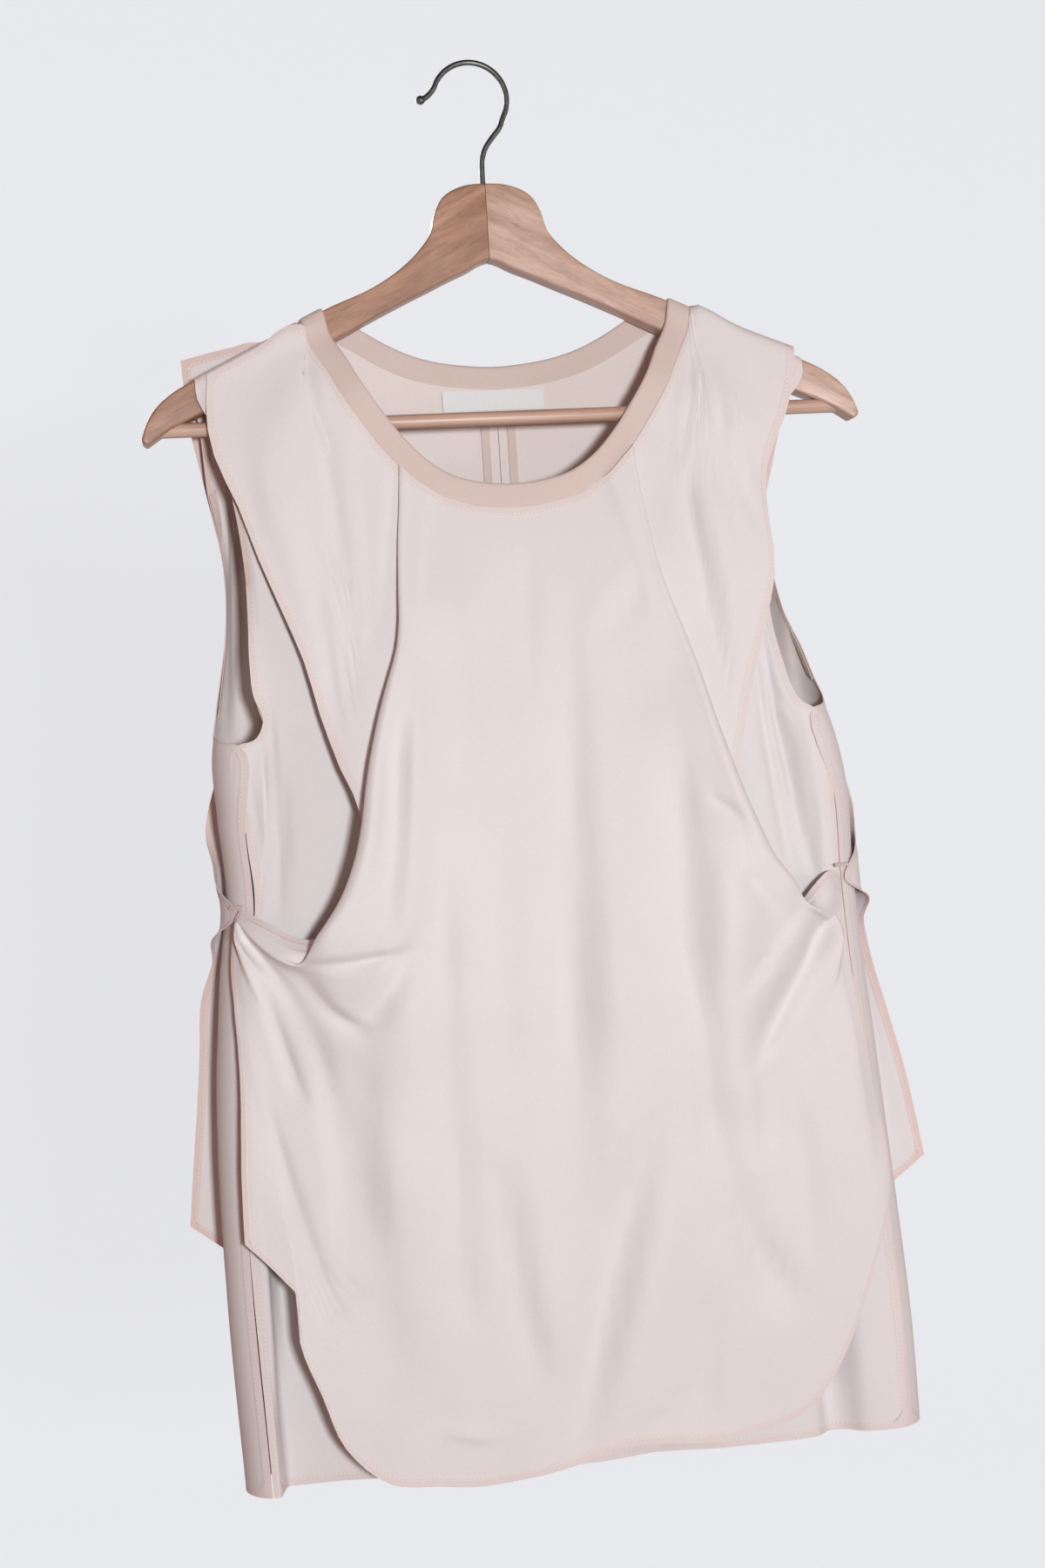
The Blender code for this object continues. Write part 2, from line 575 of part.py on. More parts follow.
EDGE_LEFT = (
    (Rail(-175, -192.9, 1.8), Rail(-177, -217, 4.5), Rail(-174, -236, 4.5), Rail(-164, -263, 5.5), Rail(-153, -298, 8),
     Rail(-143, -326, 11), Rail(-133, -352, 14), Rail(-124, -390, 17), Rail(-112, -430, 22), Rail(-104, -453, 26)),
    (Rail(-104, -453, 26), Rail(-107, -475, 24), Rail(-116, -497, 18), Rail(-136, -520, 14)),
    (Rail(-136, -520, 14), Rail(-148, -517, 14), Rail(-157, -511, 12), Rail(-165, -506.5, 8), Rail(-175, -501.5, 4)),
    (Rail(-175, -501.5, 4), Rail(-181, -519, 5), Rail(-182, -543, 8), Rail(-182, -591, 11), Rail(-185, -691, 14)),
)
INNER_LEFT = (
    (Rail(-53, -262, 1.95), Rail(-60, -310, 6), Rail(-63, -357, 12), Rail(-66, -390, 18), Rail(-69, -429, 25),
     Rail(-73, -455, 28)),
    (Rail(-73, -455, 28), Rail(-85, -490, 25), Rail(-112, -517, 22), Rail(-139, -526, 22)),
    (Rail(-139, -526, 22), Rail(-150, -524, 21), Rail(-160, -518, 17), Rail(-176, -504, 5.5)),
)
SWAG_LEFT = (
    (Rail(-67, -256.5, 3.9), Rail(-71, -290, 9), Rail(-73, -315, 14), Rail(-77, -353, 24), Rail(-88, -384, 32),
     Rail(-101, -431, 42), Rail(-105, -452, 45)),
    (Rail(-105, -452, 45), Rail(-111, -475, 46), Rail(-120, -496, 44), Rail(-137, -520, 36), Rail(-147, -533, 28)),
    (Rail(-147, -533, 28), Rail(-158, -527.5, 22), Rail(-168, -518.5, 15), Rail(-177.5, -507, 7)),
    (Rail(-177.5, -507, 7), Rail(-177.5, -540, 9), Rail(-176, -590, 12.5), Rail(-167, -670, 16), Rail(-163, -716, 17)),
)
EDGE_RIGHT = (
    (Rail(178, -184.7, 4), Rail(174.5, -209, 4.5), Rail(172, -222, 4.5), Rail(163, -236, 4.5), Rail(155, -255, 6),
     Rail(152, -279, 8), Rail(155, -305, 8), Rail(152, -330, 9), Rail(143, -358, 12), Rail(131, -395, 14),
     Rail(119, -448, 19)),
    (Rail(119, -448, 19), Rail(123, -468, 20), Rail(134, -495, 18), Rail(155, -518, 12)),
    (Rail(155, -518, 12), Rail(164, -509.5, 12), Rail(172, -503, 9), Rail(180, -502.5, 4)),
    (Rail(180, -502.5, 4), Rail(182, -520, 5), Rail(181.5, -538, 6), Rail(184, -556, 7), Rail(190, -592, 8),
     Rail(196, -637, 9), Rail(200.5, -675, 10), Rail(200.5, -694, 10)),
)
INNER_RIGHT = (
    (Rail(60, -252, 1.95), Rail(66, -300, 5), Rail(73, -345, 10), Rail(80, -385, 16), Rail(84, -415, 21),
     Rail(88, -450, 25)),
    (Rail(88, -450, 25), Rail(102, -485, 24), Rail(130, -510, 22), Rail(155, -522, 17)),
    (Rail(155, -522, 17), Rail(165, -517, 16), Rail(174, -513, 12), Rail(180, -514, 7)),
)
SWAG_RIGHT = (
    (Rail(73.5, -240, 3.9), Rail(75, -265, 6), Rail(79, -293, 9), Rail(83, -319, 13), Rail(91, -345, 18),
     Rail(100, -377, 26), Rail(107, -409, 33), Rail(118, -448, 40)),
    (Rail(118, -448, 40), Rail(123, -462, 41), Rail(134, -487, 38), Rail(147, -505, 32), Rail(157, -521, 24)),
    (Rail(157, -521, 24), Rail(166, -526, 19), Rail(173, -529, 14), Rail(177, -528, 10)),
    (Rail(177, -528, 10), Rail(178, -560, 10), Rail(183, -600, 11), Rail(189, -660, 12), Rail(192, -722, 12.5)),
)
RIDGE_LEFT = (
    (Rail(-45, -266, 1.3), Rail(-54, -292, 8), Rail(-61, -330, 16), Rail(-64, -360, 20), Rail(-68, -400, 28),
     Rail(-71, -455, 35)),
    (Rail(-71, -455, 35), Rail(-77, -510, 38), Rail(-84, -560, 37)),
    (Rail(-84, -560, 37), Rail(-94, -600, 30), Rail(-100, -640, 25)),
    (Rail(-100, -640, 25), Rail(-105, -700, 21), Rail(-108, -770, 19), Rail(-111, -836, 17)),
)
CENTRE = (
    (Rail(4, -275, 1.3), Rail(3, -330, 10), Rail(1, -400, 20), Rail(0, -470, 26)),
    (Rail(0, -470, 26), Rail(0, -570, 29)),
    (Rail(0, -570, 29), Rail(0, -640, 26)),
    (Rail(0, -640, 26), Rail(0, -740, 21), Rail(0, -838, 17)),
)
RIDGE_RIGHT = (
    (Rail(52, -261, 1.3), Rail(64, -300, 10), Rail(72, -345, 16), Rail(80, -385, 22), Rail(85, -420, 29),
     Rail(88, -455, 33)),
    (Rail(88, -455, 33), Rail(96, -505, 36), Rail(104, -555, 33)),
    (Rail(104, -555, 33), Rail(111, -598, 26), Rail(113, -640, 20)),
    (Rail(113, -640, 20), Rail(111, -700, 17), Rail(107, -770, 15), Rail(104, -831, 14)),
)
# lower edge of the front drape, from the left tail's crease to the right one's
HEM_FRONT = (
    Point(-163, -716), Point(-159, -745), Point(-148, -779), Point(-133, -817), Point(-111, -836), Point(-56, -843),
    Point(-3, -838), Point(26, -830), Point(82, -833), Point(104, -831), Point(143, -819), Point(163, -795),
    Point(177, -763), Point(192, -722))
DRAPE_FOLDS = (
    Fold(-166, -537, -70, -530, 7, 6, 0),          # under the left swag
    Fold(184, -518, 104, -636, 8, 11, -48),        # the right tail hangs behind the swag's belly
    Fold(100, -440, 83, -610, 9, 4, 0), Fold(82, -570, 132, -775, 9, 5, 0),
    Fold(26, -700, -10, -905, 12, 13, -70), Fold(50, -670, 20, -900, 12, -5, 0),
    Fold(-96, -610, -60, -905, 20, 5, 0),
)
# radius of the rolled folds at the neck, where the wing dives, and at the swag's corner
INNER_ROLL = (0.65, 1.5, 1.5)
SWAG_ROLL = (0.65, 5.0, 4.0)
SEWN = 0.6                               # space between an overlay and the neck band
SHOULDER_EDGE = {-1: -4.3, 1: SHOULDER - 0.3}   # the wings' top edges, from the arm's top, as cloth length


def neck_height(x):
    """Height of the overlay's edge along the neck band, just below the band's own edge."""
    edge = neck_edge(NECK_FRONT, NECK_FRONT_STEPS)
    return np.interp(x, edge[:, 0], edge[:, 1]) - SEWN


def roll_radius(sizes):
    """A fold's radius at each row, and how fully it is rolled."""
    first, second = STRETCHES[0], STRETCHES[1]
    radius = np.concatenate([
        mix(sizes[0], sizes[1], np.linspace(0, 1, first + 1) ** 1.6), np.linspace(sizes[1], sizes[2], second + 1)[1:],
        np.full(STRETCHES[2] + STRETCHES[3], 1.5)])
    rolled = np.concatenate([np.ones(first + second - 1), [0.75, 0.35, 0.0], np.zeros(sum(STRETCHES[2:]) - 1)])
    return radius[:, None], rolled[:, None]


def wing_columns(pieces, inner, side):
    """The wing: its shoulder edge and neck seam on top, its free edge and the hidden fold at its sides."""
    edge = chain(pieces, STRETCHES)
    edge[0, 1] = arm_top(edge[0, 0]) + SHOULDER_EDGE[side]
    seam = chain(NECK_FRONT, NECK_FRONT_STEPS) * (side, 1)
    seam = seam[np.abs(seam[:, 0]) > abs(inner[0, 0]) + 4] + (side * SEWN / 2, 0)
    seam[0, 1] = arm_top(seam[0, 0]) + SHOULDER_EDGE[side]
    if side < 0:
        seam = np.delete(seam, 1, axis=0)
    x = mix(edge[0, 0], seam[0, 0], 0.5)
    top = np.array([edge[0, :2], (x, arm_top(x) + SHOULDER_EDGE[side]), *seam, inner[0, :2]])
    shares = (top[:, 0] - top[0, 0]) / (top[-1, 0] - top[0, 0])
    turned = np.arange(TURN_ROWS + 1) * OVER_LENGTH / TURN_ROWS / np.linalg.norm(np.diff(edge[:13, :2], axis=0), axis=1).sum()
    crowded = np.concatenate([turned, np.linspace(turned[-1], 1, STRETCHES[0] - TURN_ROWS + 1)[1:]])
    even = np.linspace(0, 1, STRETCHES[0] + 1)
    columns = []
    for j, share in enumerate(shares):
        eased = smoothstep((j - 3) / 4)
        where = mix(crowded, even, eased)
        first = run(pieces[0], list(where))
        first[0, 1] = edge[0, 1]
        rail = np.concatenate([first, edge[len(first):]])
        held = np.concatenate([
            np.stack([np.interp(where, even, inner[:len(first), k]) for k in range(3)], axis=1), inner[len(first):]])
        spread = mix(share, j / (len(shares) - 1), smoothstep(np.concatenate([where, np.ones(len(edge) - len(where))]) * 3))
        column = mix(rail, held, spread[:, None])
        fade = np.clip(1 - np.concatenate([where, np.ones(len(edge) - len(where))]), 0, 1) ** 1.2
        column[:, 0] += fade * (top[j, 0] - mix(edge[0, 0], inner[0, 0], share))
        column[:, 1] += fade * (top[j, 1] - mix(edge[0, 1], inner[0, 1], share))
        floor = 4.0 * (1 - smoothstep((share - 0.6) / 0.3))
        sewn = mix(edge[0, 2], 1.7, min(share * 3, 1))
        column[:, 2] = mix(np.maximum(column[:, 2], floor), sewn, fade ** 9)
        columns.append(column)
    return np.stack(columns, axis=1)


def overlay_side(edge, inner, swag, side):
    """Columns from a wing's free edge, through the pleat's two folds, to the start of the drape."""
    swag = chain(swag, STRETCHES)
    outer = chain(edge, STRETCHES)
    inner = chain(inner, STRETCHES[:3])
    inner = np.concatenate([inner, mix(outer, swag, 0.5)[len(inner):]])
    step = np.array([side, 0, 0.0])
    lift = np.array([0, 0, 1.0])

    radius, rolled = roll_radius(INNER_ROLL)
    wing_end = mix(mix(inner, outer, 0.08), inner + (step - lift) * radius, rolled)
    back_start = mix(mix(inner, swag, 0.2), inner + (step + lift) * radius, rolled)

    radius, rolled = roll_radius(SWAG_ROLL)
    strip_rows = np.zeros((len(inner), 1))
    strip_rows[sum(STRETCHES[:2]):sum(STRETCHES[:3])] = 1
    plain = mix(mix(swag, outer, -0.15), swag + np.array([-side, -3, -4.5]), strip_rows)
    back_end = mix(mix(swag, inner, 0.2), swag - (step + 2 * lift) * radius, rolled)
    turn_mid = mix(swag, swag - lift * radius, rolled)
    drape_start = mix(plain, swag - step * radius, rolled)

    wing = wing_columns(edge, wing_end, side)
    back_middle = (back_start + back_end) / 2
    folds = np.stack([inner, back_start, back_middle, back_end, turn_mid, drape_start], axis=1)
    for part in (wing, folds):
        inside = np.abs(part[0, :, 0]) < NECK_TURN - 8
        part[0, inside, 1] = neck_height(part[0, inside, 0])
    return wing, folds


def make_front_overlay(finish_used):
    wing_left, folds_left = overlay_side(EDGE_LEFT, INNER_LEFT, SWAG_LEFT, -1)
    wing_right, folds_right = overlay_side(EDGE_RIGHT, INNER_RIGHT, SWAG_RIGHT, 1)
    ribs = [chain(rail, STRETCHES) for rail in (RIDGE_LEFT, CENTRE, RIDGE_RIGHT)]
    spans = (4, 4, 4, 4)
    drape = np.array([
        through([folds_left[i, -1], ribs[0][i], ribs[1][i], ribs[2][i], folds_right[i, -1]], spans)
        for i in range(len(wing_left))])
    rows = len(drape)
    seam = np.array([
        (x, neck_height(x), LAYER + 2 * LAYER * smoothstep((abs(x) - (44 if x < 0 else 50)) / 9)) for x in drape[0, :, 0]])
    fade = np.clip(1 - np.arange(rows) / 6, 0, 1)[:, None, None]
    drape += fade * (seam - drape[0])
    edge = chain((HEM_FRONT[:5], HEM_FRONT[4:7], HEM_FRONT[6:10], HEM_FRONT[9:]), spans)
    rise = np.clip((np.arange(rows) - (rows - 9)) / 8, 0, 1)[:, None, None] ** 1.5
    drape[:, 1:-1, :2] += rise * (edge - drape[-1, :, :2])[1:-1]
    for point in drape[:, 1:-1].reshape(-1, 3):
        point[2] -= fold_depth(point[0], point[1], DRAPE_FOLDS)
    plan = np.concatenate([wing_left, folds_left, drape[:, 1:-1], folds_right[:, ::-1], wing_right[:, ::-1]], axis=1)
    grid = np.array([[standing_point(x, z, off) for x, z, off in row] for row in plan])
    return cloth("front_overlay", grid, WALL, finish_used)


# ---------------------------------------------------------------- back overlay

# Each side of the back overlay leaves the back at an inner line and runs out to its free edge, curling forward.
Strip = namedtuple("Strip", "z inner reach turn")
STRIP_LEFT = (
    Strip(-176, 150, 39, 0), Strip(-210, 150, 37, 0), Strip(-246, 147, 33, 0), Strip(-290, 142, 30, 5),
    Strip(-345, 138, 26, 10), Strip(-400, 145, 26, 10), Strip(-427, 152, 33, 5), Strip(-455, 160, 32, 15),
    Strip(-478, 163, 34, 75), Strip(-493, 161.5, 52, 112), Strip(-503, 161.5, 64, 140), Strip(-512, 164, 52, 110),
    Strip(-530, 168, 27, 45), Strip(-545, 170, 31, 25), Strip(-556, 171, 30, 15), Strip(-597, 172, 32, 8),
    Strip(-633, 173, 35, 4), Strip(-690, 176, 40, 0),
)
STRIP_RIGHT = (
    Strip(-188, 148, 33, 0), Strip(-246, 140, 30, 0), Strip(-290, 134, 26, 3), Strip(-345, 132, 24, 5),
    Strip(-400, 145, 30, 8), Strip(-430, 162, 38, 8), Strip(-455, 170, 36, 15), Strip(-480, 172, 45, 90),
    Strip(-495, 175, 66, 140), Strip(-506, 176, 73, 157), Strip(-514, 177, 62, 125), Strip(-530, 178, 36, 60),
    Strip(-543, 179, 33, 30), Strip(-586, 184, 38, 8), Strip(-624, 186, 46, 0), Strip(-688, 190, 53, 0),
)
STRIP_ROWS = (
    -176, -198, -218, -240, -264, -296, -345, -395, -430, -455, -474, -488, -503, -518, -534, -552, -592, -640, -690)
STRIP_COLUMNS = 6
STRIP_OFF = 3.5
HEM_BACK = (
    Point(-216, -690), Point(-197, -705), Point(-180, -722), Point(-165, -760), Point(-145, -795),
    Point(-110, -830), Point(-50, -843), Point(0, -845), Point(60, -843), Point(120, -829), Point(158, -795),
    Point(178, -760), Point(192, -722), Point(222, -703), Point(243, -688),
)
BACK_SHOULDER_LEFT = (Point(-189, -176), Point(-173, -172), Point(-154, -168), Point(-139, -163), Point(-120, -157))
BACK_SHOULDER_RIGHT = -4.3              # the right one, from the arm's top
BACK_DRAPE_FOLDS = (
    Fold(-165, -503, -70, -560, 12, 5, 0), Fold(-160, -500, -60, -430, 14, 4, 0), Fold(-160, -510, -110, -640, 12, 5, 0),
    Fold(175, -503, 80, -560, 12, 5, 0), Fold(172, -500, 70, -430, 14, 4, 0), Fold(172, -510, 120, -640, 12, 5, 0),
    Fold(-20, -300, -35, -990, 26, 6, 0), Fold(40, -360, 48, -990, 22, 5, 0),
)


def behind(x, z, off):
    """A point standing off the base's back that does not follow it over the arm."""
    if z > arm_top(x) - 20 or abs(x) > half_width(x, z) - SIDE_ROUND:
        share = min(max(abs(x) - half_width(x, z) + SIDE_ROUND, 0) / (SIDE_ROUND + off), 0.97)
        if z > arm_top(x) - 20:
            return x, -SWEEP * abs(x) + ARM_BACK + off, z
        middle, half, _ = side_turn(x, z)
        return x, middle + (half + off) * math.sqrt(1 - share**2), z
    return x, back_depth(x, z) + off, z


def strip_point(rows, side, z, share):
    """A point from the inner line (share 0) out to the free edge (share 1)."""
    inner, reach, turn = (read(rows, column, z) for column in (1, 2, 3))
    x, y, _ = behind(side * inner, z, STRIP_OFF)
    angle = math.radians(max(turn, 0.1))
    x += side * reach * math.sin(angle * share) / angle
    y -= reach * (1 - math.cos(angle * share)) / angle
    return x, y, z


def make_back_overlay(finish_used):
    depth = np.array([(STRIP_ROWS[0] - z) / (STRIP_ROWS[0] - STRIP_ROWS[-1]) for z in STRIP_ROWS])
    hem_x = [point.x for point in HEM_BACK]
    hem_z = [point.z for point in HEM_BACK]
    shoulder_x = [point.x for point in BACK_SHOULDER_LEFT]
    shoulder_z = [point.z for point in BACK_SHOULDER_LEFT]
    neck = neck_edge(NECK_BACK, NECK_BACK_STEPS)[2:-2]
    lines = {}
    for side, rows in ((-1, STRIP_LEFT), (1, STRIP_RIGHT)):
        top_z, low_z = rows[0].z, rows[-1].z
        strip = []
        for share in np.linspace(1, 0, STRIP_COLUMNS + 1):
            low_x = strip_point(rows, side, low_z, share)[0]
            low = np.interp(low_x, hem_x, hem_z)
            top_x = strip_point(rows, side, top_z, share)[0]
            high = np.interp(top_x, shoulder_x, shoulder_z) if side < 0 else arm_top(top_x) + BACK_SHOULDER_RIGHT
            line = []
            for drop in depth:
                # the strip's own row, stretched to reach the shoulder edge above and the hem below
                x, y, z = strip_point(rows, side, mix(top_z, low_z, drop), share)
                z += (1 - drop) ** 3 * (high - top_z) + drop**3 * (low - low_z)
                line.append((x, y, z))
            strip.append(line)
        lines[side] = strip
    inner_left, inner_right = np.array(lines[-1][-1]), np.array(lines[1][-1])
    edge_left = [(x, np.interp(x, shoulder_x, shoulder_z)) for x in (-140, -128)]
    edge_right = [(x, arm_top(x) + BACK_SHOULDER_RIGHT) for x in (126, 137)]
    neck = neck - (0, SEWN)
    top = np.array([inner_left[0, (0, 2)], *edge_left, *neck, *edge_right, inner_right[0, (0, 2)]])
    low = run([point for point in HEM_BACK[2:-2]], len(top) - 1)
    low[0], low[-1] = inner_left[-1, (0, 2)], inner_right[-1, (0, 2)]
    shares = (top[:, 0] - top[0, 0]) / (top[-1, 0] - top[0, 0])
    even = (low[:, 0] - low[0, 0]) / (low[-1, 0] - low[0, 0])
    middle = []
    for i, drop in enumerate(depth):
        left, right = inner_left[i], inner_right[i]
        spread = mix(shares, even, smoothstep(drop * 2.2))
        x = mix(left[0], right[0], spread)
        reach = smoothstep(np.minimum(np.arange(len(top)), np.arange(len(top))[::-1]) / 3)
        plain = mix(top[:, 1], low[:, 1], drop)
        z = mix(mix(left[2], right[2], spread) , plain, reach)
        line = []
        for k in range(1, len(top) - 1):
            off = mix(STRIP_OFF, 3.0, reach[k])
            point = behind(x[k], z[k], off)
            lift = fold_depth(point[0], point[2], BACK_DRAPE_FOLDS)
            line.append((point[0], point[1] + lift, point[2]))
        middle.append(line)
    grid = np.concatenate([
        np.array(lines[-1]).transpose(1, 0, 2), np.array(middle), np.array(lines[1][::-1]).transpose(1, 0, 2)], axis=1)
    return cloth("back_overlay", grid, WALL, finish_used)


# ---------------------------------------------------------------- tacks

# A short stitched bar at each side of the waist holds the corner of the front overlay to the edge of the back one.
TACK_LONG, TACK_HIGH, TACK_THICK, TACK_OUT = 12.0, 2.4, 0.8, 0.95
TACK_HEIGHT = -500.4
TACKS = (("tack_left", -1, Rail(-175, -501.5, 4), STRIP_LEFT), ("tack_right", 1, Rail(180, -502.5, 4), STRIP_RIGHT))


def make_tacks(finish_used):
    for name, side, corner, rows in TACKS:
        start = np.array(standing_point(*corner))[:2]
        end = np.array(strip_point(rows, side, -503, 1))[:2]
        along = (end - start) / np.linalg.norm(end - start)
        out = np.array([along[1], -along[0]]) * side
        rings = []
        for reach in (-TACK_LONG / 2, TACK_LONG / 2):
            centre = (start + end) / 2 + along * reach
            rings.append(np.array([
                (*(centre + out * (TACK_OUT + depth)), TACK_HEIGHT + height)
                for depth, height in ((0, 0), (0, TACK_HIGH), (TACK_THICK, TACK_HIGH), (TACK_THICK, 0))]))
        lofted(name, rings, finish_used)


# ---------------------------------------------------------------- scene

for old in list(bpy.data.objects):
    bpy.data.objects.remove(old, do_unlink=True)

CREPE = finish("crepe", (0.72, 0.64, 0.63), 0.75)
PEACH = finish("binding", (0.62, 0.42, 0.36), 0.7)
SATIN = finish("satin", (0.75, 0.74, 0.73), 0.4)
WOOD = finish("beech", (0.50, 0.32, 0.22), 0.5)
METAL = finish("dark_wire", (0.05, 0.05, 0.05), 0.35, 1.0)

make_hanger(WOOD, METAL)
make_base(CREPE, PEACH, SATIN)
make_front_overlay(CREPE)
make_back_overlay(CREPE)
make_tacks(PEACH)
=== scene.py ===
"""Dresses the layered sleeveless top and the wooden hanger that it hangs on.

Garment and hanger are laid out in millimetres about the hanger's middle: X to the right as seen from the front, Y
away from the viewer, Z up. in_frame then gives the place in the frame's metres, whose origin is at the hook.
"""

import math
from collections import namedtuple

import bmesh
import bpy
import numpy as np
from mathutils import Matrix, Vector, noise


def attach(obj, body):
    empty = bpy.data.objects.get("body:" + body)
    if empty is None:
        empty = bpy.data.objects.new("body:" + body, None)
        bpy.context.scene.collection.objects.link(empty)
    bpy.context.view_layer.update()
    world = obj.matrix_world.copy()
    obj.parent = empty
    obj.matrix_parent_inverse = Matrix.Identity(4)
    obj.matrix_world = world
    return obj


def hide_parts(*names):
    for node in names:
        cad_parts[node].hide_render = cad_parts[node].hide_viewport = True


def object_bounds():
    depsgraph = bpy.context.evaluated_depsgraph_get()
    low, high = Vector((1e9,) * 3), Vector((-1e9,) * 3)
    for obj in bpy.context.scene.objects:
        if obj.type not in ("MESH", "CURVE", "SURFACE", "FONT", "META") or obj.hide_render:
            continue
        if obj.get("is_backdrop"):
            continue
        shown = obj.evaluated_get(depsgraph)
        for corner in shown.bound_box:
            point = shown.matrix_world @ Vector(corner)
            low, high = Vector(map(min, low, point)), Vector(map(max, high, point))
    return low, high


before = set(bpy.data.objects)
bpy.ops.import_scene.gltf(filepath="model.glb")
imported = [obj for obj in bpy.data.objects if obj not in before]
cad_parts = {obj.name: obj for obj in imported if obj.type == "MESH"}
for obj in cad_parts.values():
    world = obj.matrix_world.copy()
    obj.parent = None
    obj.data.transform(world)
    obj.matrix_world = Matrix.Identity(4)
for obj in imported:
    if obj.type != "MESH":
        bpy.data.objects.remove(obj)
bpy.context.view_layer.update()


# ---------------------------------------------------------------- camera
# The camera stands a little left of the garment's middle and level with its waist. It is turned slightly, as the
# photograph was taken.

MM = 0.001
CAMERA_PLACE = Vector((-206.1, -1334.2, -438.5)) * MM
CAMERA_AZIMUTH, CAMERA_ROLL = math.radians(-9.0), math.radians(3.7)
LENS, SENSOR, NEAREST = 50.94, 36.0, 0.05

camera_back = Vector((math.sin(CAMERA_AZIMUTH), -math.cos(CAMERA_AZIMUTH), 0.0))
level = Vector((math.cos(CAMERA_AZIMUTH), math.sin(CAMERA_AZIMUTH), 0.0))
upright = camera_back.cross(level)
camera_right = level * math.cos(CAMERA_ROLL) - upright * math.sin(CAMERA_ROLL)
camera_up = upright * math.cos(CAMERA_ROLL) + level * math.sin(CAMERA_ROLL)

bpy.ops.object.camera_add()
camera = bpy.context.object
camera.name = "camera"
camera.data.lens = LENS
camera.data.sensor_width = SENSOR
camera.data.sensor_fit = "AUTO"
camera.data.clip_start = NEAREST
camera.matrix_world = Matrix((*zip(camera_right, camera_up, camera_back, CAMERA_PLACE), (0, 0, 0, 1)))
bpy.context.scene.camera = camera


# ---------------------------------------------------------------- hanger halves
# Two flat halves of light beech, swept forward, butt against each other at the middle. Their long edges are rounded
# over, and a clear lacquer lets the grain show. The grain follows each arm.

HOOK_OFFSET = 4.7                       # the hook's crown is this far left of its stem
BOARD = 15.0                            # thickness of a half, front to back
SWEEP = math.tan(math.radians(9))       # forward travel of an arm for each mm outward
ARM_SLOPE = 0.521                       # fall of an arm's top edge for each mm outward
EDGE_ROUND = 4.2
PAST_MIDDLE = 8.0                       # a half is built this far past the middle, then cut off square
WOOD_STEPS = 4                          # steps between two stations
ALMOST = 0.02                           # points closer than this are one
SHARP_WOOD = math.radians(50)           # edges sharper than this stay crisp


def table(form, rows):
    """Rows of numbers, given the names of their columns."""
    return [form(*row) for row in rows]


# where a half's upper and lower edges lie, from the middle to the tip
Station = namedtuple("Station", "x_upper z_upper x_lower z_lower")
HALF = table(Station, (
    (0.15, -73.8, 0.15, -119.8), (15, -76, 14, -126.5), (27, -83, 26, -132), (32.5, -93, 34, -136),
    (35.5, -104, 40, -139), (43.5, -115, 48, -142.8), (56, -126.5, 60, -148.8), (73, -137.5, 74, -156),
    (100, -149.5, 97, -168.3), (140, -170.3, 137, -189.5), (180, -191.2, 176, -210.5), (195, -199.5, 190, -217),
    (206, -209, 199, -221.8), (212.5, -220, 206, -226.5), (215, -227.5, 211.5, -230.5),
))


def mix(first, second, share):
    return first + (second - first) * share


def in_frame(point):
    return Vector(((point[0] + HOOK_OFFSET) * MM, point[1] * MM, point[2] * MM))


def smooth_spans(grid, times, axis=0):
    """A grid of points with each span along one axis cut into steps of a smooth curve through the points."""
    grid = np.moveaxis(np.asarray(grid, float), axis, 0)
    rise = np.diff(grid, axis=0)
    span = np.maximum(np.linalg.norm(rise, axis=-1, keepdims=True), 1e-6)
    rate = rise / span
    slope = np.empty_like(grid)
    slope[0], slope[-1] = rate[0], rate[-1]
    slope[1:-1] = (rate[:-1] * span[1:] + rate[1:] * span[:-1]) / (span[:-1] + span[1:])
    steps = []
    for t in np.arange(times) / times:
        steps.append(
            grid[:-1] * (2 * t**3 - 3 * t**2 + 1) + slope[:-1] * span * (t**3 - 2 * t**2 + t)
            + grid[1:] * (3 * t**2 - 2 * t**3) + slope[1:] * span * (t**3 - t**2))
    fine = np.stack(steps, axis=1).reshape(-1, *grid.shape[1:])
    return np.moveaxis(np.concatenate([fine, grid[-1:]]), 0, axis)


def alone(piece):
    """Selects one object only, and makes it the active one."""
    bpy.ops.object.select_all(action="DESELECT")
    piece.select_set(True)
    bpy.context.view_layer.objects.active = piece


def fit(piece, node, finish):
    """Gives a finished piece its look, and puts it in the place of its solid."""
    piece.data.materials.append(finish)
    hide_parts(node)
    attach(piece, "root")


def modify(piece, kind, **settings):
    """Puts a modifier on a piece and applies it."""
    added = piece.modifiers.new(kind.lower(), kind)
    for name, value in settings.items():
        setattr(added, name, value)
    bpy.ops.object.modifier_apply(modifier=added.name)


def put(tree, kind, inputs=None, **settings):
    """Adds a shader node. An input's value may be a plain value or another node's output."""
    node = tree.nodes.new("ShaderNode" + kind)
    for name, value in settings.items():
        setattr(node, name, value)
    for key, value in (inputs or {}).items():
        if isinstance(value, bpy.types.NodeSocket):
            tree.links.new(value, node.inputs[key])
        else:
            node.inputs[key].default_value = value
    return node


def colours(tree, source, *stops):
    """A ramp through colours, each at its place."""
    node = put(tree, "ValToRGB", {"Fac": source})
    bar = node.color_ramp
    while len(bar.elements) < len(stops):
        bar.elements.new(0.5)
    for element, (place, colour) in zip(bar.elements, stops):
        element.position = place
        element.color = (*colour, 1.0)
    return node.outputs["Color"]


def blended(tree, kind, amount, first, second):
    node = put(tree, "Mix", {"Factor": amount, 6: first, 7: second}, data_type="RGBA", blend_type=kind)
    return node.outputs[2]


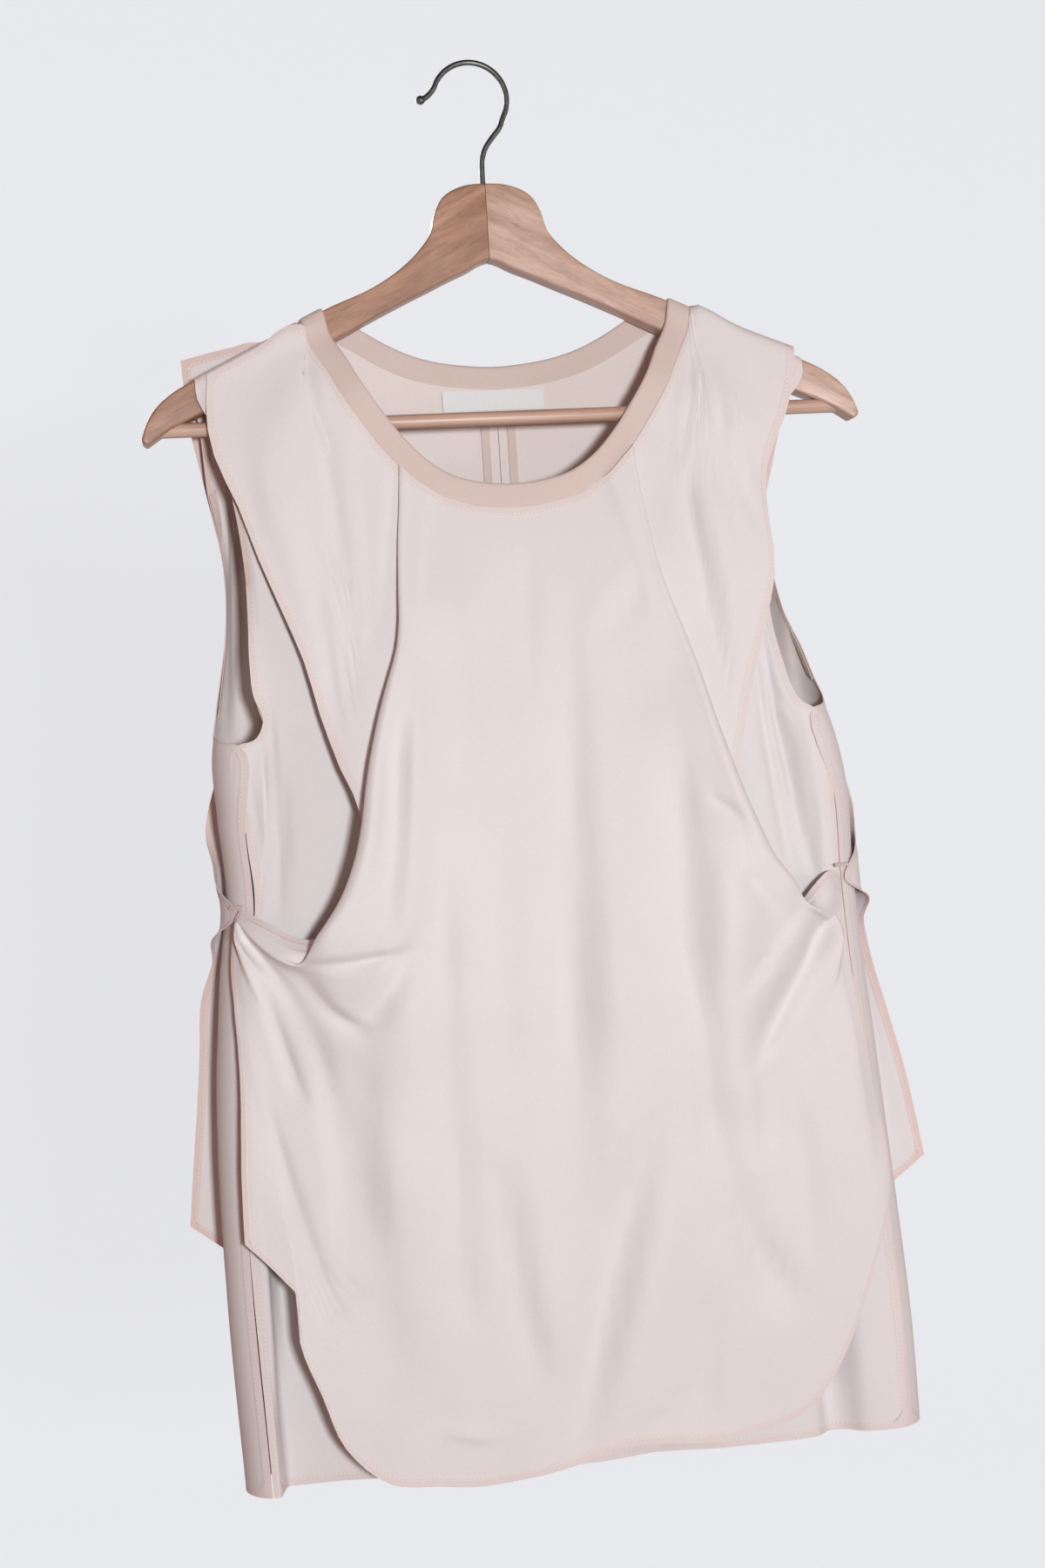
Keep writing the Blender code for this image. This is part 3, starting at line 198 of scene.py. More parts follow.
def new_material(name, **values):
    """A material on the standard shader, with an underscore for each space in a setting's name."""
    made = bpy.data.materials.new(name)
    made.use_nodes = True
    shader = made.node_tree.nodes["Principled BSDF"]
    for setting, value in values.items():
        shader.inputs[setting.replace("_", " ")].default_value = value
    return made, made.node_tree, shader


def wood(name, lean, dark, middle, light):
    """Lacquered beech whose grain runs along X, leaning down by an angle."""
    made, tree, shader = new_material(name, Roughness=0.46, Coat_Weight=0.22, Coat_Roughness=0.28)
    at = put(tree, "TexCoord").outputs["Object"]
    turned = put(tree, "Mapping", {"Vector": at, "Rotation": (0.0, lean, 0.0)}).outputs["Vector"]

    def streaks(size, detail, along, distortion=0.0):
        squeezed = put(tree, "Mapping", {"Vector": turned, "Scale": (along, 1.0, 1.0)}).outputs["Vector"]
        return put(tree, "TexNoise", {
            "Vector": squeezed, "Scale": size, "Detail": detail, "Roughness": 0.6, "Distortion": distortion,
        }).outputs["Fac"]

    bands = colours(tree, streaks(120.0, 4.0, 0.055, 0.3), (0.30, dark), (0.52, middle), (0.72, light))
    fine = colours(tree, streaks(900.0, 2.0, 0.025), (0.35, (0.80, 0.76, 0.74)), (0.62, (1.0, 1.0, 1.0)))
    flecks = colours(tree, streaks(520.0, 1.0, 0.05), (0.28, (0.62, 0.52, 0.47)), (0.36, (1.0, 1.0, 1.0)))
    grained = blended(tree, "MULTIPLY", 0.42, blended(tree, "MULTIPLY", 0.6, bands, fine), flecks)
    tree.links.new(grained, shader.inputs["Base Color"])
    raised = put(tree, "Bump", {"Strength": 0.16, "Distance": 0.0004, "Height": streaks(700.0, 3.0, 0.03)})
    tree.links.new(raised.outputs["Normal"], shader.inputs["Normal"])
    return made


ARM_LEAN = math.atan(ARM_SLOPE)
# Both halves are one beech: the left half's tones are painted darker, as shade, and the right half's, which the bar
# shares, are painted lighter, as the lacquer's sheen.
BEECH_LEFT_PAINTED_SHADE = ((0.27, 0.135, 0.082), (0.40, 0.215, 0.140), (0.52, 0.30, 0.205))
BEECH_PAINTED_SHEEN = ((0.40, 0.245, 0.18), (0.56, 0.36, 0.28), (0.68, 0.48, 0.40))


def hanger_half(node, side, grain):
    """One half: a strip extruded station by station, given its thickness, rounded over and swept forward."""
    stations = [[(s.x_upper, 0, s.z_upper), (s.x_lower, 0, s.z_lower)] for s in HALF]
    past_middle = [(x - PAST_MIDDLE, 0, z) for x, _, z in stations[0]]
    outline = smooth_spans(np.array([past_middle, *stations]), WOOD_STEPS)
    bpy.ops.mesh.primitive_plane_add(size=2 * MM)
    half = bpy.context.object
    half.name = node + "_wood"
    alone(half)
    bpy.ops.object.mode_set(mode="EDIT")
    shape = bmesh.from_edit_mesh(half.data)
    for vert, (x, _, z) in zip(shape.verts, (*outline[0], *outline[1])):
        vert.co = in_frame((side * x, 0, z))
    for pair in outline[2:]:
        bpy.ops.mesh.select_all(action="DESELECT")
        shape = bmesh.from_edit_mesh(half.data)
        shape.verts.ensure_lookup_table()
        for vert in shape.verts[-2:]:
            vert.select_set(True)
        shape.select_flush(True)
        bpy.ops.mesh.extrude_edges_move()
        shape = bmesh.from_edit_mesh(half.data)
        shape.verts.ensure_lookup_table()
        ends = sorted(shape.verts[-2:], key=lambda vert: -vert.co.z)
        for vert, (x, _, z) in zip(ends, pair):
            vert.co = in_frame((side * x, 0, z))
    bmesh.update_edit_mesh(half.data)
    bpy.ops.object.mode_set(mode="OBJECT")
    modify(half, "SOLIDIFY", thickness=BOARD * MM, offset=0.0)
    modify(half, "BEVEL", width=EDGE_ROUND * MM, segments=5, limit_method="ANGLE", angle_limit=math.radians(55))
    shape = bmesh.new()
    shape.from_mesh(half.data)
    bmesh.ops.remove_doubles(shape, verts=shape.verts, dist=ALMOST * MM)
    butt = bmesh.ops.bisect_plane(
        shape, geom=[*shape.verts, *shape.edges, *shape.faces], plane_co=in_frame((side * HALF[0].x_upper, 0, 0)),
        plane_no=(-side, 0, 0), clear_outer=True)["geom_cut"]
    bmesh.ops.edgeloop_fill(shape, edges=[cut for cut in butt if isinstance(cut, bmesh.types.BMEdge)])
    for vert in shape.verts:
        vert.co.y -= SWEEP * abs(vert.co.x - HOOK_OFFSET * MM)
    bmesh.ops.recalc_face_normals(shape, faces=shape.faces)
    shape.to_mesh(half.data)
    shape.free()
    half.data.transform(half.matrix_world)
    half.matrix_world = Matrix.Identity(4)
    half.data.shade_smooth()
    half.data.set_sharp_from_angle(angle=SHARP_WOOD)
    fit(half, node, grain)


hanger_half("hanger_half_left", -1, wood("beech_left_painted_shade", ARM_LEAN, *BEECH_LEFT_PAINTED_SHADE))
hanger_half("hanger_half_right", 1, wood("beech_right_painted_sheen", -ARM_LEAN, *BEECH_PAINTED_SHEEN))


# ---------------------------------------------------------------- hanger bar
# A turned round bar of the same wood, glued into a blind hole near each tip.

BAR_RADIUS, BAR_HEIGHT, BAR_REACH, BAR_ROUND = 4.3, -220.8, 206.0, 0.6
BAR_INSIDE = 3.0                        # the bar's end lies this far inward of the tip that its depth is taken from

bpy.ops.mesh.primitive_cylinder_add(
    vertices=40, radius=BAR_RADIUS * MM, depth=2 * BAR_REACH * MM,
    location=in_frame((0, -SWEEP * (BAR_REACH - BAR_INSIDE), BAR_HEIGHT)), rotation=(0, math.pi / 2, 0))
bar = bpy.context.object
bar.name = "hanger_bar_wood"
alone(bar)
bpy.ops.object.mode_set(mode="EDIT")
bpy.ops.mesh.select_all(action="SELECT")
bpy.ops.mesh.bevel(offset=BAR_ROUND * MM, segments=3)
bpy.ops.object.mode_set(mode="OBJECT")
bpy.ops.object.transform_apply(location=True, rotation=True, scale=True)
bar.data.shade_smooth()
bar.data.set_sharp_from_angle(angle=SHARP_WOOD)
# the bar takes the right half's tones, painted lighter as sheen
fit(bar, "hanger_bar", wood("beech_bar", 0.0, *BEECH_PAINTED_SHEEN))


# ---------------------------------------------------------------- hook
# One length of dark steel wire, bent cold: a ball on its end, the round hook, an S and the stem, which stands in
# the wood between the halves.

WIRE_RADIUS, HOOK_RADIUS, STEM_FOOT, WIRE_STEPS = 1.7, 22.7, -97.5, 4
BEND_START, BEND_END, BEND_STEP = 160, -30, -10         # degrees round the hook, from its tip's side to its neck
# x, z and the wire's radius, from the ball to the hook's round, and then x and z from there down the stem
HOOK_END = ((-37.6, -21.9, 0.5), (-37.1, -21.7, 1.5), (-36.2, -21.3, 2.4), (-35.0, -20.8, 2.8), (-33.9, -20.4, 2.5),
            (-32.9, -19.9, 1.9), (-30.6, -18.4, WIRE_RADIUS))
HOOK_NECK = ((12.6, -38.2), (7.2, -44.8), (2.6, -51.5), (0.5, -58), (0, -66), (0, -80), (0, STEM_FOOT))


def wire_piece(name, course, radii, widest, roundness):
    """A round wire through points, each with its own radius, made into a mesh."""
    line = bpy.data.curves.new(name, "CURVE")
    line.dimensions = "3D"
    line.bevel_depth = widest * MM
    line.bevel_resolution = roundness
    line.use_fill_caps = True
    spline = line.splines.new("POLY")
    spline.points.add(len(course) - 1)
    for point, place, radius in zip(spline.points, course, radii):
        point.co = (*in_frame(place), 1.0)
        point.radius = radius / widest
    wire = bpy.data.objects.new(name, line)
    bpy.context.scene.collection.objects.link(wire)
    alone(wire)
    bpy.ops.object.convert(target="MESH")
    bpy.context.object.data.shade_smooth()
    return bpy.context.object


bend_turns = np.radians(np.arange(BEND_START, BEND_END - 1, BEND_STEP))
bend = np.stack([
    HOOK_RADIUS * np.cos(bend_turns) - HOOK_OFFSET, HOOK_RADIUS * np.sin(bend_turns) + WIRE_RADIUS - HOOK_RADIUS,
    np.full(len(bend_turns), WIRE_RADIUS)], axis=1)
wire = smooth_spans(np.concatenate([HOOK_END, bend, [(x, z, WIRE_RADIUS) for x, z in HOOK_NECK]]), WIRE_STEPS)
hook = wire_piece("hanger_hook_wire", [(x, 0, z) for x, z, _ in wire], wire[:, 2], WIRE_RADIUS, 6)

wire_steel, tree, shader = new_material("dark_wire_steel", Metallic=1.0)
drawn = put(tree, "TexNoise", {
    "Vector": put(tree, "TexCoord").outputs["Object"], "Scale": 350.0, "Detail": 4.0}).outputs["Fac"]
tones = colours(tree, drawn, (0.0, (0.045, 0.043, 0.042)), (1.0, (0.15, 0.145, 0.14)))
tree.links.new(tones, shader.inputs["Base Color"])
dullness = put(tree, "MapRange", {"Value": drawn, "To Min": 0.26, "To Max": 0.44}).outputs["Result"]
tree.links.new(dullness, shader.inputs["Roughness"])
fit(hook, "hanger_hook", wire_steel)


# ---------------------------------------------------------------- forms that the cloth follows
# The top hangs over the two arms, turns about 25 mm front to back at each shoulder, and falls flat from there with
# rounded sides. Its pieces are laid out on this form, each one a layer further out.

GAP = 0.3
FINE = 24                                # steps in each span of a curve that is measured along
WALL = 1.0                               # what a layer takes up, with its air
LAYER = WALL + GAP
ARM_START, ARM_START_TOP = 100.0, -149.5
SIDE_ROUND = 22.0                        # how far in from a side the base turns from front to back
LAST_SHARE = 0.97                        # of that turn, where a layer outside it stops turning
NECK_TURN, SHOULDER_TIP, HEM = 118.0, 182.0, -842.0
Point = namedtuple("Point", "x z")
Rail = namedtuple("Rail", "x z off")
# A crease from one end to the other. A drop is the width over which a one-sided fold stays in, 0 on a plain valley.
Fold = namedtuple("Fold", "x_start z_start x_end z_end width depth drop")


def smoothstep(value):
    value = np.clip(value, 0.0, 1.0)
    return value * value * (3 - 2 * value)


def read(rows, column, height):
    """A table whose rows run downward, read at a height."""
    return float(np.interp(-height, [-row[0] for row in rows], [row[column] for row in rows]))


def legs(form, parts):
    """A line in several legs. Each leg after the first starts where the one before it ended."""
    rows = [table(form, part) for part in parts]
    return [rows[0]] + [[before[-1], *leg] for before, leg in zip(rows, rows[1:])]


def run_along(grid, axis):
    """How far each point lies along its line of the grid, from the line's first point."""
    steps = np.linalg.norm(np.diff(grid, axis=axis), axis=-1)
    return np.concatenate([np.zeros_like(steps.take([0], axis=axis)), np.cumsum(steps, axis=axis)], axis=axis)


def run(points, shares):
    """Points on a smooth curve through a table's rows, at shares of its length or in so many even steps."""
    fine = smooth_spans(points, FINE)
    where = run_along(fine, 0)
    if isinstance(shares, int):
        shares = np.linspace(0, 1, shares + 1)
    return np.stack([np.interp(np.array(shares) * where[-1], where, column) for column in fine.T], axis=1)


def chain(pieces, steps):
    """Several runs end to end, with a corner where they meet."""
    runs = [run(piece, count) for piece, count in zip(pieces, steps)]
    return np.concatenate([runs[0]] + [later[1:] for later in runs[1:]])


FOLD_FADE = 0.25                         # the share of a fold over which each end fades out


def fold_depth(x, z, folds):
    """How far folds sink the cloth."""
    total = 0.0
    for fold in folds:
        run_x, run_z = fold.x_end - fold.x_start, fold.z_end - fold.z_start
        length = math.hypot(run_x, run_z)
        along = ((x - fold.x_start) * run_x + (z - fold.z_start) * run_z) / length**2
        across = ((x - fold.x_start) * run_z - (z - fold.z_start) * run_x) / length
        if not 0 < along < 1:
            continue
        strength = smoothstep(along / FOLD_FADE) * smoothstep((1 - along) / FOLD_FADE)
        if fold.drop:
            across *= math.copysign(1, fold.drop)
            shape = smoothstep(across / fold.width + 0.5) * (1 - smoothstep(across / abs(fold.drop)))
        else:
            shape = math.exp(-(across / fold.width) ** 2)
        total += fold.depth * shape * strength
    return total


ARM_FACE = BOARD / 2 + 1.65              # middle of the base cloth, from the arm's middle
ARM_BACK = BOARD / 2 + 2.5               # the same behind the arm, where the cloth hangs looser
OVER_START = 8.0                         # the cloth starts to turn over the arm this far below its top
OVER_RISE = OVER_START + 1.4             # and rises by this, to lie just clear of it
OVER_SQUARE, OVER_SPREAD = 2 / 3, 1.15   # the turn is fuller than round, and outer layers rise a little more
OVER_LENGTH = 13.5                       # cloth from there to the shoulder seam
SHOULDER = OVER_LENGTH - OVER_START      # height of the seam above the arm's top, as cloth length
# how far below the arm's top the cloth leaves the arm's line, and over what height it does so
FRONT_LEAVES, FRONT_LEAVING = 12.0, 44.0
BACK_LEAVES, BACK_LEAVING = 24.0, 100.0

# height, then the depth of the base's front and of its back, well below the arms
HANG = (
    (-150, -38.5, 2.0), (-221, -38.7, 3.0), (-262, -41.0, 4.0), (-330, -42.0, 5.0),
    (-500, -42.0, 6.0), (-680, -41.0, 8.0), (-860, -40.0, 10.0),
)
# height, then the base's half width on its left and on its right
SIDES = (
    (-150, 214, 214), (-200, 210, 204), (-246, 191, 180), (-290, 176, 166), (-312, 173, 165), (-347, 175, 173),
    (-381, 181, 183), (-405, 185, 188), (-441, 185, 197), (-503, 182.5, 198), (-545, 191, 200), (-620, 196, 206),
    (-687, 198, 211), (-760, 196, 217), (-850, 193, 219),
)


def arm_top(x):
    return ARM_START_TOP - ARM_SLOPE * (abs(x) - ARM_START)


def front_depth(x, z):
    hanging = smoothstep((arm_top(x) - FRONT_LEAVES - z) / FRONT_LEAVING)
    return mix(-SWEEP * abs(x) - ARM_FACE, read(HANG, 1, z), hanging)


def back_depth(x, z):
    hanging = smoothstep((arm_top(x) - BACK_LEAVES - z) / BACK_LEAVING)
    return mix(-SWEEP * abs(x) + ARM_BACK, read(HANG, 2, z), hanging)


def half_width(x, z):
    return read(SIDES, 1 if x < 0 else 2, z)


def over_arm(x, z, facing, off):
    """Depth and height where cloth turns over the arm. z goes on above the turn's start as cloth length."""
    turn = min((z - arm_top(x) + OVER_START) / OVER_LENGTH, 1.0) * math.pi / 2
    depth = ((ARM_FACE if facing < 0 else ARM_BACK) + off) * max(math.cos(turn), 0.0) ** OVER_SQUARE
    rise = (OVER_RISE + off * OVER_SPREAD) * math.sin(turn) ** OVER_SQUARE
    return facing * depth - SWEEP * abs(x), arm_top(x) - OVER_START + rise


def side_turn(x, z):
    """Middle depth, half depth and cloth length of the half ring at one side of the base."""
    inner = math.copysign(half_width(x, z) - SIDE_ROUND, x)
    if abs(x) < abs(inner):
        inner = x
    front, back = front_depth(inner, z), back_depth(inner, z)
    half = (back - front) / 2
    return (front + back) / 2, half, math.pi * math.sqrt((SIDE_ROUND**2 + half**2) / 2)


def base_point(along, z, facing, off=0.0):
    """A point on the base. along is cloth length from the panel's middle; facing is -1 in front, 1 behind."""
    if z > arm_top(along) - OVER_START:
        return (along, *over_arm(along, z, facing, off))
    side = math.copysign(1, along)
    flat = half_width(along, z) - SIDE_ROUND
    middle, half, arc = side_turn(along, z)
    turn = max(abs(along) - flat, 0) / arc * math.pi
    x = side * (min(abs(along), flat) + (SIDE_ROUND + off) * math.sin(turn))
    return x, middle + facing * (half + off) * math.cos(turn), z


def round_side(x, z, off, facing):
    """Depth at x, standing off the base, where it may turn round a side."""
    middle, half, _ = side_turn(x, z)
    share = min(max(abs(x) - half_width(x, z) + SIDE_ROUND, 0) / (SIDE_ROUND + off), LAST_SHARE)
    return middle + facing * (half + off) * math.sqrt(1 - share**2)


def standing_point(x, z, off):
    """A point standing off the base's front, found by its own x."""
    if z > arm_top(x) - OVER_START:
        return (x, *over_arm(x, z, -1, off))
    return x, round_side(x, z, off, -1), z


# ---------------------------------------------------------------- cloth
# Each sheet is laid out as a coarse grid on those forms. It is then made finer, creased, given a thin wall and
# measured as it was cut. Its points keep how far off a hem they are, for the stitches.

def unit_normals(grid):
    """Square to the grid at each of its points, toward the back on a front panel."""
    normals = np.cross(np.gradient(grid, axis=1), np.gradient(grid, axis=0))
    return normals / np.maximum(np.linalg.norm(normals, axis=2, keepdims=True), 1e-9)


Crease = namedtuple("Crease", "x_start z_start x_bend z_bend x_end z_end width height")
CREASE_STEPS = 12
TAPER = 0.3                              # a crease runs on past its ends by this share of each half
CREASE_REACH = 4.0                       # no crease is felt further off than this many widths
CREASE_FADE = 0.34                       # the share of a crease over which each end fades out
STEEP, SLACK = 0.75, 1.4                 # widths of a crease's two flanks
UNEVEN = 0.18                            # how much a crease's height comes and goes along it
LEAN, LEAN_START, LEAN_WIDTH = 0.8, 130.0, 60.0    # creases lift sideways too near the garment's sides
# the waves of worn crepe and its small dents: height, length across, length down, and a row of the noise
SLOW_WAVES, SMALL_DENTS = (3.2, 34, 80, 7.3), (0.25, 11, 15, 3.1)
SETTLE = 70.0                            # below a held edge the cloth may wave fully from here on
THIN = 0.55                              # crepe, as it is made
SHARP_CLOTH = math.radians(75)
UNHEMMED = 1000.0                        # how far off a hem the points of an unhemmed sheet are taken to be


def crease_heights(grid, creases):
    """How far soft ridges (plus) and troughs (minus), each bent once and fading at both ends, lift the cloth.

    A crease is steeper on the flank that faces left, as the cloth leans that way.
    """
    x, z = grid[..., 0], grid[..., 2]
    total = np.zeros_like(x)
    for number, crease in enumerate(creases):
        share = np.linspace(0, 1, CREASE_STEPS + 1)
        start, bend_at, end = (np.array(crease[k:k + 2])[:, None] for k in (0, 2, 4))
        start, end = start + TAPER * (start - bend_at), end + TAPER * (end - bend_at)
        line = mix(mix(start, bend_at, share), mix(bend_at, end, share), share)
        reach = CREASE_REACH * crease.width
        near = np.nonzero(
            (x > line[0].min() - reach) & (x < line[0].max() + reach)
            & (z > line[1].min() - reach) & (z < line[1].max() + reach))
        if not len(near[0]):
            continue
        spot = np.stack([x[near], z[near]])[:, :, None] - line[:, None, :-1]
        step = np.diff(line, axis=1)[:, None, :]
        along = np.clip((spot * step).sum(axis=0) / (step**2).sum(axis=0), 0, 1)
        away = np.linalg.norm(spot - along * step, axis=0)
        side = step[0] * spot[1] - step[1] * spot[0]
        best = away.argmin(axis=1)
        pick = np.arange(len(best))
        reached = (best + along[pick, best]) / CREASE_STEPS
        uneven = 1 + UNEVEN * np.sin(reached * (6 + number % 5) + number)
        strength = smoothstep(np.minimum(reached, 1 - reached) / CREASE_FADE) * uneven
        width = crease.width * np.where(side[pick, best] * crease.height < 0, STEEP, SLACK)
        total[near] += crease.height * strength * np.exp(-(away[pick, best] / width) ** 2)
    return total


def outward(grid, facing):
    """The way out of the garment, the same for all layers of a pleat: straight ahead, and turning at the sides."""
    x = grid[..., 0]
    lean = LEAN * np.sign(x) * smoothstep((np.abs(x) - LEAN_START) / LEAN_WIDTH)
    way = np.stack([lean, np.full_like(x, facing), np.zeros_like(x)], axis=2)
    return way / np.linalg.norm(way, axis=2, keepdims=True)


def crumple(grid, facing, fade):
    """The faint unevenness of worn crepe: slow waves and smaller dents."""
    found = np.zeros(grid.shape[:2])
    for place in np.ndindex(found.shape):
        x, _, z = grid[place]
        for height, wide, tall, row in (SLOW_WAVES, SMALL_DENTS):
            found[place] += height * noise.noise(Vector((x / wide, facing * row, z / tall)))
    return found * fade


def flat_cut(grid):
    """Width, length and area in metres of a sheet before it was hung."""
    across, down = run_along(grid, 1), run_along(grid, 0)
    edge_down, edge_across = grid[1:, :-1] - grid[:-1, :-1], grid[:-1, 1:] - grid[:-1, :-1]
    other_down, other_across = grid[:-1, 1:] - grid[1:, 1:], grid[1:, :-1] - grid[1:, 1:]
    area = sum(np.linalg.norm(np.cross(a, b), axis=2).sum() / 2
               for a, b in ((edge_down, edge_across), (other_down, other_across)))
    return across[:, -1].max() * MM, down[-1].max() * MM, area * MM**2


def hang(node, grid, facing, finish, steps, wall=THIN, creases=(), waves=1.0, hems=(), turn_rows=0):
    """A sheet on its solid's form: finer, creased and given its wall. Each point knows how far off a hem it is.

    The first turn_rows spans are short already, where the sheet turns over an arm, and are only cut in two.
    """
    grid = smooth_spans(smooth_spans(grid, steps[0], 0), steps[1], 1)
    turned_over = turn_rows * steps[0]
    grid = grid[np.concatenate([np.arange(0, turned_over, steps[0] // 2), np.arange(turned_over, len(grid))])]
    held = run_along(grid, 0)
    lift = crease_heights(grid, creases)
    if waves:
        lift += waves * crumple(grid, facing, smoothstep(held / SETTLE))
    grid = grid + outward(grid, facing) * lift[..., None]
    normals = unit_normals(grid) * np.broadcast_to(wall, grid.shape[:2])[..., None] / 2
    rows, columns = grid.shape[:2]
    points = np.concatenate([(grid + normals).reshape(-1, 3), (grid - normals).reshape(-1, 3)])
    behind = rows * columns
    corner = (np.arange(rows - 1)[:, None] * columns + np.arange(columns - 1)).ravel()
    quads = np.stack([corner, corner + 1, corner + columns + 1, corner + columns], axis=1)
    rim = np.concatenate([
        np.arange(columns), np.arange(1, rows) * columns + columns - 1,
        (rows - 1) * columns + np.arange(columns - 2, -1, -1), np.arange(rows - 2, 0, -1) * columns])
    following = np.roll(rim, -1)
    faces = np.concatenate([
        quads, behind + quads[:, ::-1], np.stack([following, rim, behind + rim, behind + following], axis=1)])

    mesh = bpy.data.meshes.new(node + "_cloth")
    mesh.from_pydata([in_frame(point) for point in points], [], faces.tolist())
    shape = bmesh.new()
    shape.from_mesh(mesh)
    bmesh.ops.recalc_face_normals(shape, faces=shape.faces)
    if shape.calc_volume(signed=True) < 0:
        bmesh.ops.reverse_faces(shape, faces=shape.faces)
    shape.to_mesh(mesh)
    shape.free()

    across, down = run_along(grid, 1), run_along(grid, 0)
    off_edge = {"top": down, "foot": down[-1:] - down, "left": across, "right": across[:, -1:] - across}
    nearest = np.full(grid.shape[:2], UNHEMMED)
    seam_run = np.zeros(grid.shape[:2])
    for side in hems:
        closer = off_edge[side] < nearest
        nearest[closer] = off_edge[side][closer]
        seam_run[closer] = (across if side in ("top", "foot") else down)[closer]
    on_wrong_side = np.repeat((0.0, 1.0) if facing > 0 else (1.0, 0.0), behind)
    for name, values in (
            ("off_hem", np.tile(nearest.ravel() * MM, 2)), ("seam_run", np.tile(seam_run.ravel() * MM, 2)),
            ("wrong_side", on_wrong_side)):
        kept = mesh.attributes.new(name, "FLOAT", "POINT")
        kept.data.foreach_set("value", values.astype(np.float32))
    layout = np.stack([across, down], axis=2).reshape(-1, 2) * MM
    corners = np.empty(len(mesh.loops), np.int32)
    mesh.loops.foreach_get("vertex_index", corners)
    mesh.uv_layers.new(name="cloth").data.foreach_set("uv", layout[corners % behind].astype(np.float32).ravel())
    mesh.shade_smooth()
    mesh.set_sharp_from_angle(angle=SHARP_CLOTH)
    piece = bpy.data.objects.new(node + "_cloth", mesh)
    bpy.context.scene.collection.objects.link(piece)
    fit(piece, node, finish)
    return piece, flat_cut(grid)


# ---------------------------------------------------------------- crepe
# Pale blush crepe for the top, with the wrong side of the back painted a little pinker as warm light bounced inside
# it, and a peach one for what binds it.

def crepe(name, colour, hem_colour, thread, wrong_side):
    """Matt crepe: a fine pebbled face whose low spots are painted a little darker as shade, slightly uneven dye,
    and hems that show their second layer and stitches.
    """
    made, tree, shader = new_material(
        name, Roughness=0.82, Specular_IOR_Level=0.28, Sheen_Weight=0.18, Sheen_Roughness=0.55,
        Sheen_Tint=(1.0, 0.93, 0.91, 1.0))
    at = put(tree, "TexCoord").outputs["Object"]
    cloud = put(tree, "TexNoise", {"Vector": at, "Scale": 14.0, "Detail": 3.0}).outputs["Fac"]
    pebble = put(tree, "TexNoise", {"Vector": at, "Scale": 620.0, "Detail": 3.0, "Roughness": 0.7}).outputs["Fac"]
    grain = put(tree, "TexNoise", {"Vector": at, "Scale": 1900.0, "Detail": 2.0}).outputs["Fac"]
    off_hem = put(tree, "Attribute", attribute_name="off_hem").outputs["Fac"]
    seam_run = put(tree, "Attribute", attribute_name="seam_run").outputs["Fac"]

    def calc(kind, first, second=0.0, third=0.0):
        return put(tree, "Math", {0: first, 1: second, 2: third}, operation=kind).outputs[0]

    def between(value, low, high):
        return put(tree, "MapRange", {"Value": value, "From Min": low, "From Max": high}).outputs["Result"]

    folded = between(off_hem, HEM_FOLD + HEM_SOFT, HEM_FOLD - HEM_SOFT)
    line = between(calc("ABSOLUTE", calc("SUBTRACT", off_hem, HEM_STITCH)), *STITCH_LINE)
    dash = calc("LESS_THAN", calc("FRACT", calc("DIVIDE", seam_run, STITCH_PITCH)), STITCH_SHARE)
    stitch = calc("MULTIPLY", line, dash)
    # uneven dye from the slow cloud, times painted shade in the pebbles' low spots, which the bump also sets lower
    dye_and_pebble_shade = calc("MULTIPLY", calc("MULTIPLY_ADD", cloud, *DYE), calc("MULTIPLY_ADD", pebble, *PEBBLE_PAINTED_SHADE))
    turned = put(tree, "Attribute", attribute_name="wrong_side").outputs["Fac"]
    # the wrong side's colour; on the back pieces it is painted pinker, as warm bounce light inside the top
    face = blended(tree, "MIX", turned, (*colour, 1), (*wrong_side, 1))
    shown = calc("MULTIPLY", folded, calc("MULTIPLY_ADD", turned, *HEM_SHOWS))
    plain = blended(tree, "MIX", shown, face, (*hem_colour, 1))
    sewn = blended(tree, "MIX", calc("MULTIPLY", stitch, THREAD_SHOWS), plain, (*thread, 1))
    shade = put(tree, "CombineColor", {0: dye_and_pebble_shade, 1: dye_and_pebble_shade, 2: dye_and_pebble_shade}).outputs[0]
    tree.links.new(blended(tree, "MULTIPLY", 1.0, sewn, shade), shader.inputs["Base Color"])
    height = calc("MULTIPLY", grain, GRAIN_RISE)
    for form, rise in ((pebble, 0.16), (folded, 0.34), (line, -0.30), (stitch, 0.42)):
        height = calc("MULTIPLY_ADD", form, rise, height)
    bump = put(tree, "Bump", {"Strength": 0.55, "Distance": 0.001, "Height": height}).outputs["Normal"]
    tree.links.new(bump, shader.inputs["Normal"])
    return made


# in metres, as the shader measures: how deep a hem is, how softly it ends, where its stitches run, how long one is
HEM_FOLD, HEM_SOFT, HEM_STITCH, STITCH_PITCH = 0.0052, 0.0006, 0.0040, 0.0026
STITCH_LINE, STITCH_SHARE = (0.00050, 0.00018), 0.70
# how strongly each part of the crepe's look shows: a slope and a base for those that go up and down
DYE, PEBBLE_PAINTED_SHADE, HEM_SHOWS, THREAD_SHOWS, GRAIN_RISE = (0.07, 0.965), (0.10, 0.95), (0.55, 0.35), 0.8, 0.07
CREPE_FACE, CREPE_HEM, CREPE_THREAD = (0.745, 0.700, 0.705), (0.73, 0.56, 0.53), (0.85, 0.78, 0.77)
PEACH_FACE, PEACH_THREAD = (0.655, 0.535, 0.50), (0.78, 0.66, 0.61)
BLUSH = crepe("blush_crepe", CREPE_FACE, CREPE_HEM, CREPE_THREAD, CREPE_FACE)
